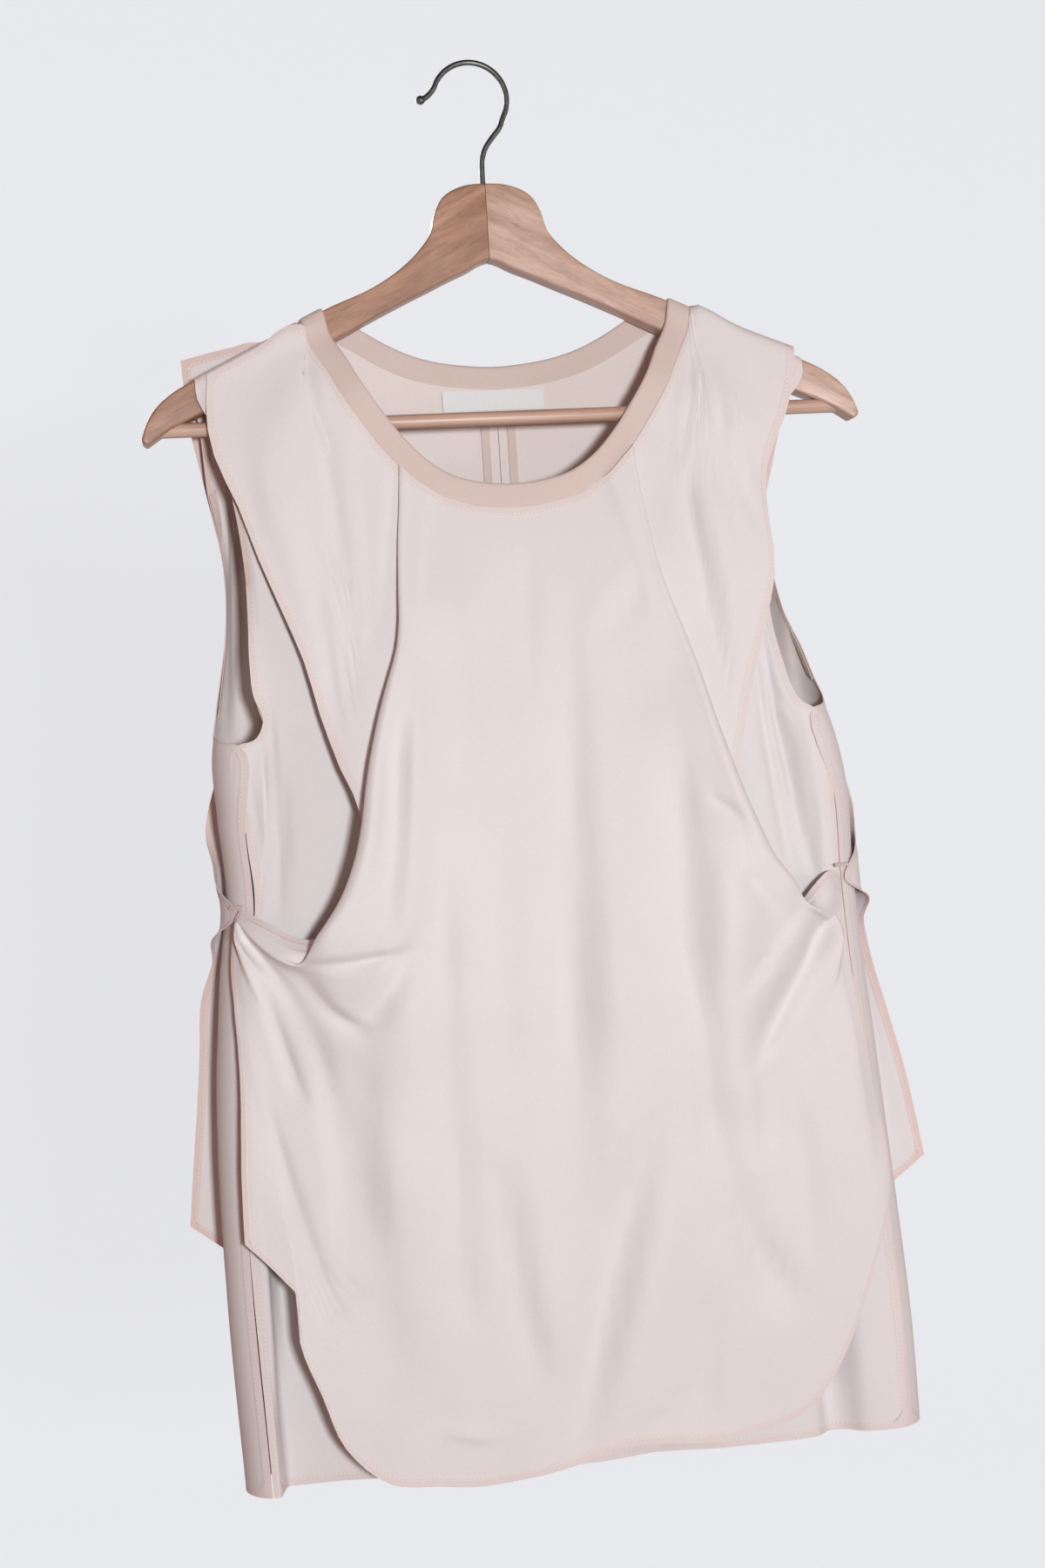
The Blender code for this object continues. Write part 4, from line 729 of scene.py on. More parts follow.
# the back's wrong side is painted pinker than the face: painted warm bounce light inside the top
BLUSH_BACK_PAINTED_BOUNCE = crepe("blush_crepe_back_painted_bounce", CREPE_FACE, CREPE_HEM, CREPE_THREAD, (0.77, 0.68, 0.665))
PEACH = crepe("peach_binding", PEACH_FACE, PEACH_FACE, PEACH_THREAD, PEACH_FACE)


# ---------------------------------------------------------------- neck
# A crew neck, deeper in front. Its raw edge is bound all round with a 14 mm band of the peach lining cloth.

# outer edge of the neck band, right half: over the arm, then on to the middle
NECK_FRONT = legs(Point, (
    ((NECK_TURN, -153.4), (117, -160), (115, -169)),
    ((108, -183), (99, -202), (87, -221.5), (75, -238.5), (62, -253), (48, -264), (33, -270.5), (16, -274),
     (0, -275)),
))
NECK_BACK = legs(Point, (
    ((NECK_TURN, -153.4), (111, -158), (104, -162.5)),
    ((94, -168), (80, -176.5), (60, -186.5), (30, -194.5), (0, -197)),
))
NECK_FRONT_STEPS = (3, 8)
NECK_BACK_STEPS = (3, 6)


def neck_edge(pieces, steps):
    """The band's outer edge from the left shoulder to the right one."""
    half = chain(pieces, steps)
    return np.concatenate([half * (-1, 1), half[-2::-1]])


def from_ends(count):
    """How many places each of so many lies from the nearer end."""
    places = np.arange(count)
    return np.minimum(places, places[::-1])


def inward(edge, width):
    """The neck's edge moved inward: along the arm where it crosses it, then square to the edge."""
    step = np.gradient(edge, axis=0)
    across = np.stack([-step[:, 1], step[:, 0]], axis=1)
    across /= np.linalg.norm(across, axis=1, keepdims=True)
    along_arm = np.stack([-np.sign(edge[:, 0]), np.full(len(edge), ARM_SLOPE)], axis=1) / math.hypot(1, ARM_SLOPE)
    across = mix(along_arm, across, smoothstep(from_ends(len(edge)) / 5)[:, None])
    return edge + width * across / np.linalg.norm(across, axis=1, keepdims=True)


# ---------------------------------------------------------------- inner tank
# A plain straight tank of blush crepe: one front, and a back in two halves that are seamed down the middle, with
# shoulder seams on the arms, a narrow hem and bound armholes. It hangs loose, with a deep valley at the left.

# armhole edges below the arm, along the cloth, down to the side seam
ARMHOLE_FRONT_LEFT = table(Point, (
    (-177, -209), (-168, -245), (-163, -280), (-161, -337), (-160, -378), (-156, -394), (-160, -402),
    (-171, -405.5),
))
ARMHOLE_FRONT_RIGHT = table(Point, (
    (176, -207), (162, -240), (152, -280), (150, -325), (154, -364), (159, -382), (164, -397), (175, -403.5),
))
ARMHOLE_BACK_LEFT = table(Point, (
    (-181, -209), (-178, -246), (-178, -290), (-184, -315), (-188, -347), (-194, -381), (-198, -394),
    (-210, -401.5), (-226, -405.5),
))
ARMHOLE_BACK_RIGHT = table(Point, (
    (177, -207), (165, -240), (164.5, -275), (168, -300), (172, -334), (184, -359), (192, -378), (201, -394),
    (214, -400.5), (229, -403.5),
))
SEAM_GAP = 0.22                          # either side of a side seam
UNDERARM_LEFT, UNDERARM_RIGHT = -405.5, -403.5
SEAM_LEFT, SEAM_RIGHT = 171.0, 175.0     # the side seam, from the middle of the front, at the underarm

FRONT_FOLDS = table(Fold, (
    (-154, -408, -168, -512, 5, 5, -30), (155, -388, 172, -512, 6, 6, 30), (-40, -560, -60, -980, 26, 8, 0),
    (40, -540, 62, -980, 24, 8, 0), (150, -560, 170, -980, 11, 12, 0),
))
BACK_FOLDS = table(Fold, (
    (-120, -400, -105, -980, 22, 9, 0), (-55, -450, -58, -980, 20, 7, 0), (58, -450, 62, -980, 20, 8, 0),
    (125, -400, 112, -980, 20, 9, 0),
))
# the left side hangs as a tube in front of a deep valley
VALLEY_EDGE, VALLEY_STEP, VALLEY_WIDTH, VALLEY_REACH, VALLEY_DEPTH = -172.0, 7.0, 25.0, 100.0, 21.0
VALLEY_TOP, VALLEY_FULL = -525.0, -690.0

SHOULDER_ROWS, ARMHOLE_ROWS = 4, 10
SKIRT_HEIGHTS = (-458, -503, -545, -600, -660, -720, -780, HEM)
ARMHOLE_SHARES = (0, 0.12, 0.25, 0.38, 0.51, 0.63, 0.74, 0.83, 0.90, 0.955, 1)
SETTLED = SHOULDER_ROWS + ARMHOLE_ROWS   # the row that reaches the side seam
SHOULDER_SHARES_FRONT = (0, 0.10, 0.22, 0.36, 0.52, 0.74)
SHOULDER_SHARES_BACK = (0, 0.10, 0.24, 0.42, 0.68)
FANNED = 150.0                           # columns from the neck's end spread out to here
FAN_NEAR, FAN_FAR = 30.0, 120.0          # how far down, at the shoulder and below the neck
UNDERARM_SINK = (3, 8, 16, 26)           # rows inside the panel pass this far under the armhole's last points
SMOOTH_ROWS = 6                          # of the armhole's, that the inside of the panel follows
EDGE_PULL = (1, 0.9, 0.76, 0.6, 0.42, 0.22, 0.08)    # how far a side edge's shape reaches into the panel


def valley_depth(x, z):
    opened = smoothstep((VALLEY_TOP - z) / (VALLEY_TOP - VALLEY_FULL))
    inside = smoothstep((x - VALLEY_EDGE) / VALLEY_STEP + 0.5)
    closing = 1 - smoothstep((x - VALLEY_EDGE - VALLEY_WIDTH) / VALLEY_REACH)
    return VALLEY_DEPTH * opened * inside * closing


def front_seam(side, z):
    seam, start = (SEAM_LEFT, UNDERARM_LEFT) if side < 0 else (SEAM_RIGHT, UNDERARM_RIGHT)
    return seam + half_width(side, z) - half_width(side, start)


def back_seam(side, z):
    flat = half_width(side, z) - SIDE_ROUND
    _, _, arc = side_turn(side * (flat + 1), z)
    return 2 * flat + arc - front_seam(side, z)


def panel_side(armhole, side, seam_at):
    """A panel's side edge: over the shoulder, round the armhole, down the seam."""
    tip = arm_top(SHOULDER_TIP)
    over = [(side * SHOULDER_TIP, tip + SHOULDER - OVER_LENGTH * i / SHOULDER_ROWS) for i in range(SHOULDER_ROWS)]
    hole = run([(side * SHOULDER_TIP, tip - OVER_START), *armhole], ARMHOLE_SHARES)
    seam = [(side * (seam_at(side, z) - SEAM_GAP), z) for z in (hole[-1][1], *SKIRT_HEIGHTS)]
    return np.concatenate([over, hole[:-1], seam])


def panel_plan(left, right, shoulder_shares, neck):
    """Rows of a panel. They crowd on the shoulder, spread below the neck, and bend to the side edges."""
    start = left[0, 1]
    crowded = left[:, 1].copy()
    crowded[SETTLED - 3:SETTLED + 1] -= UNDERARM_SINK
    even = np.concatenate([np.linspace(start, crowded[SETTLED], SETTLED + 1), SKIRT_HEIGHTS])
    shoulder = np.array([
        (x, arm_top(x) + SHOULDER) for x in (mix(SHOULDER_TIP, NECK_TURN, share) for share in shoulder_shares)])
    top = np.concatenate([shoulder * (-1, 1), neck, shoulder[::-1]])
    past = from_ends(len(top)) - len(shoulder)
    level = mix(crowded[:, None], even[:, None], smoothstep((past - 1) / 4))
    kept = [*range(SHOULDER_ROWS + SMOOTH_ROWS), *range(SETTLED + 1, len(left))]
    widths = [np.interp(-level, -edge[kept, 1], np.abs(edge[kept, 0])) for edge in (left, right)]
    fanned = [SHOULDER_TIP - (SHOULDER_TIP - x) * (SHOULDER_TIP - FANNED) / (SHOULDER_TIP - NECK_TURN)
              for x in shoulder[:, 0]]
    half = len(neck) // 2
    fanned += list(np.interp(range(half + 1), (0, 3, half), (FANNED, FANNED * (half - 2) / half, 0)))
    fanned = np.concatenate([np.negative(fanned), fanned[-2::-1]])
    reach = mix(FAN_NEAR, FAN_FAR, smoothstep((past - 3) / 3))
    x = mix(top[:, 0], fanned, smoothstep((start - level) / reach)) / SHOULDER_TIP
    x = x * np.where(x < 0, *widths)
    z = level + (level - HEM) / (start - HEM) * (top[:, 1] - start)
    plan = np.stack([x, z], axis=2)
    pull_left, pull_right = left - plan[:, 0], right - plan[:, -1]
    for j, pull in enumerate(EDGE_PULL):
        plan[:, j] += pull * pull_left
        plan[:, -1 - j] += pull * pull_right
    return plan


def panel_grid(plan, facing, folds):
    grid = np.array([[base_point(along, z, facing) for along, z in row] for row in plan])
    for point in grid.reshape(-1, 3):
        sink = fold_depth(point[0], point[2], folds)
        if facing < 0:
            sink += valley_depth(point[0], point[2])
        point[1] -= facing * sink
    grid[0, :, 1] += facing * SEAM_GAP
    return grid


def lining(grid, rows, columns, width, wall, inside):
    """Two lines on a panel's inner face, so far in from its edge along each row."""
    lifted = (grid + unit_normals(grid) * inside * ((WALL + wall) / 2 + LINING_GAP))[rows]
    lines = []
    for row in lifted:
        row = row[list(columns)]
        lines.append(np.stack([np.interp(width, run_along(row, 0), column) for column in row.T], axis=1))
    return np.stack(lines, axis=1)


BINDING_WALL = 0.5
LINING_GAP = 0.7
BINDING_WIDTH = (0.1, 6.0)
TAPE_WIDTH = (5.4, 10.4)                 # from the middle of the back to either edge of a tape
TANK_STEPS, TANK_WAVES = (6, 5), 0.35

BASE_FRONT_CREASES = table(Crease, (
    (-158, -402, -155, -445, -166, -503, 3.0, -3.6), (-152, -385, -150, -440, -153, -500, 4.5, -2.4),
    (-146, -425, -145, -450, -148, -478, 4.0, -1.4), (-165, -330, -166, -372, -161, -400, 2.2, 1.4),
    (146, -362, 153, -430, 172, -506, 3.0, -3.6), (140, -366, 143, -430, 159, -514, 3.4, -3.3),
    (160, -402, 166, -440, 171, -482, 4.0, -2.0), (168, -408, 173, -440, 175, -492, 3.0, 1.4),
    (-186, -560, -189, -700, -188, -838, 5.0, 2.0), (-176, -600, -178, -720, -177, -838, 4.0, -1.8),
    (160, -640, 166, -740, 168, -838, 9.0, -5.1), (196, -600, 203, -720, 206, -838, 6.0, 2.4),
    (-90, -560, -96, -690, -104, -838, 12.0, -3.9), (60, -560, 64, -700, 60, -838, 13.0, 4.5),
    (-172, -215, -164, -260, -158, -330, 5.0, -2.4), (160, -215, 154, -270, 150, -330, 5.0, -2.1),
))
BASE_BACK_CREASES = table(Crease, (
    (-168, -250, -172, -330, -176, -395, 3.0, -2.7), (-158, -240, -160, -330, -170, -400, 4.0, 2.2),
    (-150, -260, -150, -350, -158, -430, 5.0, -2.7), (164, -260, 166, -330, 176, -400, 4.0, -2.4),
    (150, -250, 152, -330, 160, -410, 5.0, 2.4), (-90, -230, -96, -420, -88, -640, 12.0, -3.0),
    (80, -230, 88, -420, 80, -640, 12.0, -3.0), (-40, -240, -44, -330, -34, -420, 7.0, 1.5),
    (44, -236, 40, -320, 46, -410, 7.0, 1.5), (-130, -520, -120, -680, -118, -838, 10.0, 3.6),
    (132, -520, 124, -680, 126, -838, 10.0, 3.6), (-20, -520, -24, -700, -20, -838, 9.0, -2.7),
))
tank, trims = {}, {}

BAND_WIDTH, BAND_GAP, BAND_OVERLAP, BAND_STEPS = 14.0, 0.45, 1.0, 5
BAND_THIN, BAND_THICK = 0.9, 2.0


def neck_band(node, outer, facing):
    """The band is folded over the neck's edge, so it is fullest along its middle and thin at both edges."""
    lines = [inward(outer, width) for width in (-BAND_OVERLAP, BAND_WIDTH / 2, BAND_WIDTH)]
    grid = np.array([[base_point(x, z, facing, LAYER / 2) for x, z in line] for line in lines])
    grid[:, (0, -1), 1] += facing * BAND_GAP
    share = np.linspace(-1, 1, 2 * BAND_STEPS + 1)[:, None]
    wall = mix(BAND_THIN, BAND_THICK, np.sqrt(1 - np.abs(share) ** 9))
    return hang(node, grid, facing, PEACH, (BAND_STEPS, 8), wall, waves=0)[0]


def trim(node, grid, rows, columns, width, facing, steps):
    """A narrow strip of peach cloth on a panel's inner face, hemmed along both edges."""
    lines = lining(grid, rows, columns, width, BINDING_WALL, -facing)
    return hang(node, lines, facing, PEACH, steps, BINDING_WALL, waves=0, hems=("top", "foot"))[0]


FROM_EDGE = {"left": range(7), "right": range(-1, -8, -1)}    # columns from a side edge inward

neck = neck_edge(NECK_FRONT, NECK_FRONT_STEPS)
edges = [panel_side(armhole, side, front_seam)
         for armhole, side in ((ARMHOLE_FRONT_LEFT, -1), (ARMHOLE_FRONT_RIGHT, 1))]
grid = panel_grid(panel_plan(*edges, SHOULDER_SHARES_FRONT, neck), -1, FRONT_FOLDS)
tank["front"] = hang(
    "base_front", grid, -1, BLUSH, TANK_STEPS, creases=BASE_FRONT_CREASES, waves=TANK_WAVES,
    hems=("left", "right", "foot"))
trims["front"] = [neck_band("neck_band_front", neck, -1)]
for name, columns in FROM_EDGE.items():
    trims["front"].append(trim(
        f"armhole_binding_front_{name}", grid, slice(SHOULDER_ROWS + 2, SETTLED - 1), columns, BINDING_WIDTH, -1,
        (3, 6)))

neck = neck_edge(NECK_BACK, NECK_BACK_STEPS)
edges = [panel_side(armhole, side, back_seam)
         for armhole, side in ((ARMHOLE_BACK_LEFT, -1), (ARMHOLE_BACK_RIGHT, 1))]
grid = panel_grid(panel_plan(*edges, SHOULDER_SHARES_BACK, neck), 1, BACK_FOLDS)
middle = grid.shape[1] // 2
for name, side, columns, inner in (("left", -1, slice(None, middle + 1), -1), ("right", 1, slice(middle, None), 0)):
    half = grid[:, columns].copy()
    half[:, inner, 0] = side * GAP / 2
    tank[name] = hang(
        f"base_back_{name}", half, 1, BLUSH_BACK_PAINTED_BOUNCE, TANK_STEPS, creases=BASE_BACK_CREASES,
        waves=TANK_WAVES, hems=(name, "foot"))
    trims[name] = [
        trim(f"back_tape_{name}", half, slice(1, None), range(inner, inner + 4 * side, side), TAPE_WIDTH, 1,
             (3, 5)),
        trim(f"armhole_binding_back_{name}", half, slice(SHOULDER_ROWS + 2, SETTLED - 2), FROM_EDGE[name],
             BINDING_WIDTH, 1, (3, 6)),
    ]
trims["left"].append(neck_band("neck_band_back", neck, 1))


# ---------------------------------------------------------------- neck label
# A bare woven satin ribbon, sewn flat under the back neck band with a short line of stitches at each end; the
# stitches are not drawn.

satin, tree, shader = new_material("label_satin", Roughness=0.38, Anisotropic=0.5, Sheen_Weight=0.3)
ribs = put(tree, "TexWave", {
    "Vector": put(tree, "UVMap", uv_map="cloth").outputs["UV"], "Scale": 420.0, "Distortion": 0.6, "Detail": 1.0,
}, bands_direction="X").outputs["Fac"]
# the ribs' colour swings between darker and lighter grey: painted sheen lines along the satin
painted_rib_sheen = colours(tree, ribs, (0.0, (0.70, 0.71, 0.72)), (1.0, (0.79, 0.80, 0.81)))
tree.links.new(painted_rib_sheen, shader.inputs["Base Color"])
ribbed = put(tree, "Bump", {"Strength": 0.25, "Distance": 0.0003, "Height": ribs}).outputs["Normal"]
tree.links.new(ribbed, shader.inputs["Normal"])

LABEL_LEFT, LABEL_RIGHT, LABEL_TOP, LABEL_FOOT, LABEL_WALL = -33.0, 29.5, -197.8, -210.0, 0.6
label_grid = [[base_point(x, z, 1, -(WALL + LABEL_WALL) / 2 - GAP) for x in np.linspace(LABEL_LEFT, LABEL_RIGHT, 9)]
              for z in np.linspace(LABEL_TOP, LABEL_FOOT, 3)]
trims["left"].append(hang("neck_label", np.array(label_grid), 1, satin, (6, 6), LABEL_WALL, waves=0)[0])


# ---------------------------------------------------------------- front overlay
# One cut of the same crepe lies loose over the tank. It is sewn in with the neck band only. A deep pleat at each
# side of the neck parts the flat wing at the armhole from the middle, which falls as two swags and a shirt tail.

# Rails run from the shoulder down to where the wing's edge dives behind the swag, on to the swag's lower corner,
# along the turned-up strip to the tack, and down the tail to its corner.
STRETCHES = (12, 4, 4, 7)
TURN_ROWS = 4                            # of the first stretch, those that turn over an arm

EDGE_LEFT = legs(Rail, (
    ((-175, -192.9, 1.8), (-177, -217, 4.5), (-174, -236, 4.5), (-164, -263, 5.5), (-153, -298, 8),
     (-143, -326, 11), (-133, -352, 14), (-124, -390, 17), (-112, -430, 22), (-104, -453, 26)),
    ((-107, -475, 24), (-116, -497, 18), (-136, -520, 14)),
    ((-148, -517, 14), (-157, -511, 12), (-165, -506.5, 8), (-175, -501.5, 4)),
    ((-181, -519, 5), (-182, -543, 8), (-182, -591, 11), (-185, -691, 14)),
))
INNER_LEFT = legs(Rail, (
    ((-53, -262, 1.95), (-60, -310, 6), (-63, -357, 12), (-66, -390, 18), (-69, -429, 25), (-73, -455, 28)),
    ((-85, -490, 25), (-112, -517, 22), (-139, -526, 22)),
    ((-150, -524, 21), (-160, -518, 17), (-176, -504, 5.5)),
))
SWAG_LEFT = legs(Rail, (
    ((-67, -256.5, 3.9), (-71, -290, 9), (-73, -315, 14), (-77, -353, 24), (-88, -384, 32), (-101, -431, 42),
     (-105, -452, 45)),
    ((-111, -475, 46), (-120, -496, 44), (-137, -520, 36), (-147, -533, 28)),
    ((-158, -527.5, 22), (-168, -518.5, 15), (-177.5, -507, 7)),
    ((-177.5, -540, 9), (-176, -590, 12.5), (-167, -670, 16), (-163, -716, 17)),
))
EDGE_RIGHT = legs(Rail, (
    ((178, -184.7, 4), (174.5, -209, 4.5), (172, -222, 4.5), (163, -236, 4.5), (155, -255, 6), (152, -279, 8),
     (155, -305, 8), (152, -330, 9), (143, -358, 12), (131, -395, 14), (119, -448, 19)),
    ((123, -468, 20), (134, -495, 18), (155, -518, 12)),
    ((164, -509.5, 12), (172, -503, 9), (180, -502.5, 4)),
    ((182, -520, 5), (181.5, -538, 6), (184, -556, 7), (190, -592, 8), (196, -637, 9), (200.5, -675, 10),
     (200.5, -694, 10)),
))
INNER_RIGHT = legs(Rail, (
    ((60, -252, 1.95), (66, -300, 5), (73, -345, 10), (80, -385, 16), (84, -415, 21), (88, -450, 25)),
    ((102, -485, 24), (130, -510, 22), (155, -522, 17)),
    ((165, -517, 16), (174, -513, 12), (180, -514, 7)),
))
SWAG_RIGHT = legs(Rail, (
    ((73.5, -240, 3.9), (75, -265, 6), (79, -293, 9), (83, -319, 13), (91, -345, 18), (100, -377, 26),
     (107, -409, 33), (118, -448, 40)),
    ((123, -462, 41), (134, -487, 38), (147, -505, 32), (157, -521, 24)),
    ((166, -526, 19), (173, -529, 14), (177, -528, 10)),
    ((178, -560, 10), (183, -600, 11), (189, -660, 12), (192, -722, 12.5)),
))
RIDGE_LEFT = legs(Rail, (
    ((-45, -266, 1.3), (-54, -292, 8), (-61, -330, 16), (-64, -360, 20), (-68, -400, 28), (-71, -455, 35)),
    ((-77, -510, 38), (-84, -560, 37)),
    ((-94, -600, 30), (-100, -640, 25)),
    ((-105, -700, 21), (-108, -770, 19), (-111, -836, 17)),
))
CENTRE = legs(Rail, (
    ((4, -275, 1.3), (3, -330, 10), (1, -400, 20), (0, -470, 26)),
    ((0, -570, 29),),
    ((0, -640, 26),),
    ((0, -740, 21), (0, -838, 17)),
))
RIDGE_RIGHT = legs(Rail, (
    ((52, -261, 1.3), (64, -300, 10), (72, -345, 16), (80, -385, 22), (85, -420, 29), (88, -455, 33)),
    ((96, -505, 36), (104, -555, 33)),
    ((111, -598, 26), (113, -640, 20)),
    ((111, -700, 17), (107, -770, 15), (104, -831, 14)),
))
# lower edge of the front drape, from the left tail's crease to the right one's
HEM_FRONT = table(Point, (
    (-163, -716), (-159, -745), (-148, -779), (-133, -817), (-111, -836), (-56, -843), (-3, -838), (26, -830),
    (82, -833), (104, -831), (143, -819), (163, -795), (177, -763), (192, -722),
))
DRAPE_FOLDS = table(Fold, (
    (-166, -537, -70, -530, 7, 6, 0),          # under the left swag
    (184, -518, 104, -636, 8, 11, -48),        # the right tail hangs behind the swag's belly
    (100, -440, 83, -610, 9, 4, 0), (82, -570, 132, -775, 9, 5, 0), (26, -700, -10, -905, 12, 13, -70),
    (50, -670, 20, -900, 12, -5, 0), (-96, -610, -60, -905, 20, 5, 0),
))
# radius of the rolled folds at the neck, where the wing dives, and at the swag's corner
INNER_ROLL = (0.65, 1.5, 1.5)
SWAG_ROLL = (0.65, 5.0, 4.0)
FLAT_ROLL = 1.5                          # and below the corner, where the folds open out
UNROLLING = (0.75, 0.35, 0.0)            # how fully a fold is rolled in the rows just above that corner
ROLL_GROWS = 1.6                         # power by which a roll widens from the neck down
# where a fold has opened out, its neighbours lie at these shares of the way to the next rail
OPEN_WING, OPEN_BACK, OPEN_DRAPE = 0.08, 0.2, 0.15
SEWN = 0.6                               # space between an overlay and the neck band
WING_OFF, WING_SEWN_OFF = 4.0, 1.7       # a wing stands off the base by this, and by this where it is sewn in
CLEAR_OF_ARM = 8.0                       # the neck seam is followed from this far inward of the neck's turn
STRIP_OUT, STRIP_DOWN, STRIP_BACK = 1.0, 3.0, 4.5    # how the drape starts off the swag along the turned-up strip
SEAM_ROWS, HEM_ROWS = 6, 9               # rows of the drape that bend to the neck seam, and to the hem
SHOULDER_EDGE = {-1: -4.3, 1: SHOULDER - 0.3}   # the wings' top edges, from the arm's top, as cloth length


def neck_height(x):
    """Height of the overlay's edge along the neck band, just below the band's own edge."""
    edge = neck_edge(NECK_FRONT, NECK_FRONT_STEPS)
    return np.interp(x, edge[:, 0], edge[:, 1]) - SEWN


def roll_radius(sizes):
    """A fold's radius at each row, and how fully it is rolled."""
    first, second = STRETCHES[0], STRETCHES[1]
    radius = np.concatenate([
        mix(sizes[0], sizes[1], np.linspace(0, 1, first + 1) ** ROLL_GROWS),
        np.linspace(sizes[1], sizes[2], second + 1)[1:], np.full(STRETCHES[2] + STRETCHES[3], FLAT_ROLL)])
    rolled = np.concatenate([np.ones(first + second - 1), UNROLLING, np.zeros(sum(STRETCHES[2:]) - 1)])
    return radius[:, None], rolled[:, None]


def wing_columns(pieces, inner, side):
    """The wing: its shoulder edge and neck seam on top, its free edge and the hidden fold at its sides."""
    edge = chain(pieces, STRETCHES)
    edge[0, 1] = arm_top(edge[0, 0]) + SHOULDER_EDGE[side]
    seam = chain(NECK_FRONT, NECK_FRONT_STEPS) * (side, 1)
    seam = seam[np.abs(seam[:, 0]) > abs(inner[0, 0]) + 4] + (side * SEWN / 2, 0)
    seam[0, 1] = arm_top(seam[0, 0]) + SHOULDER_EDGE[side]
    if side < 0:
        seam = np.delete(seam, 1, axis=0)
    x = mix(edge[0, 0], seam[0, 0], 0.5)
    top = np.array([edge[0, :2], (x, arm_top(x) + SHOULDER_EDGE[side]), *seam, inner[0, :2]])
    shares = (top[:, 0] - top[0, 0]) / (top[-1, 0] - top[0, 0])
    first_length = run_along(edge[:STRETCHES[0] + 1, :2], 0)[-1]
    turned = np.arange(TURN_ROWS + 1) * OVER_LENGTH / TURN_ROWS / first_length
    crowded = np.concatenate([turned, np.linspace(turned[-1], 1, STRETCHES[0] - TURN_ROWS + 1)[1:]])
    even = np.linspace(0, 1, STRETCHES[0] + 1)
    below = len(edge) - len(even)
    columns = []
    for j, share in enumerate(shares):
        where = mix(crowded, even, smoothstep((j - 3) / 4))
        first = run(pieces[0], list(where))
        first[0, 1] = edge[0, 1]
        rail = np.concatenate([first, edge[len(first):]])
        held = [np.interp(where, even, column[:len(first)]) for column in inner.T]
        held = np.concatenate([np.stack(held, axis=1), inner[len(first):]])
        where = np.concatenate([where, np.ones(below)])
        column = mix(rail, held, mix(share, j / (len(shares) - 1), smoothstep(where * 3))[:, None])
        fade = np.clip(1 - where, 0, 1) ** 1.2
        column[:, :2] += fade[:, None] * (top[j] - mix(edge[0, :2], inner[0, :2], share))
        floor = WING_OFF * (1 - smoothstep((share - 0.6) / 0.3))
        sewn = mix(edge[0, 2], WING_SEWN_OFF, min(share * 3, 1))
        column[:, 2] = mix(np.maximum(column[:, 2], floor), sewn, fade ** 9)
        columns.append(column)
    return np.stack(columns, axis=1)


def overlay_side(edge, inner, swag, side):
    """Columns from a wing's free edge, through the pleat's two folds, to the start of the drape."""
    swag = chain(swag, STRETCHES)
    outer = chain(edge, STRETCHES)
    inner = chain(inner, STRETCHES[:3])
    inner = np.concatenate([inner, mix(outer, swag, 0.5)[len(inner):]])
    step, lift = np.array([side, 0, 0.0]), np.array([0, 0, 1.0])

    radius, rolled = roll_radius(INNER_ROLL)
    wing_end = mix(mix(inner, outer, OPEN_WING), inner + (step - lift) * radius, rolled)
    back_start = mix(mix(inner, swag, OPEN_BACK), inner + (step + lift) * radius, rolled)

    radius, rolled = roll_radius(SWAG_ROLL)
    strip_rows = np.zeros((len(inner), 1))
    strip_rows[sum(STRETCHES[:2]):sum(STRETCHES[:3])] = 1
    plain = mix(mix(swag, outer, -OPEN_DRAPE), swag - (side * STRIP_OUT, STRIP_DOWN, STRIP_BACK), strip_rows)
    back_end = mix(mix(swag, inner, OPEN_BACK), swag - (step + 2 * lift) * radius, rolled)
    turn_mid = mix(swag, swag - lift * radius, rolled)
    drape_start = mix(plain, swag - step * radius, rolled)

    wing = wing_columns(edge, wing_end, side)
    back_middle = (back_start + back_end) / 2
    folds = np.stack([inner, back_start, back_middle, back_end, turn_mid, drape_start], axis=1)
    for part in (wing, folds):
        inside = np.abs(part[0, :, 0]) < NECK_TURN - CLEAR_OF_ARM
        part[0, inside, 1] = neck_height(part[0, inside, 0])
    return wing, folds


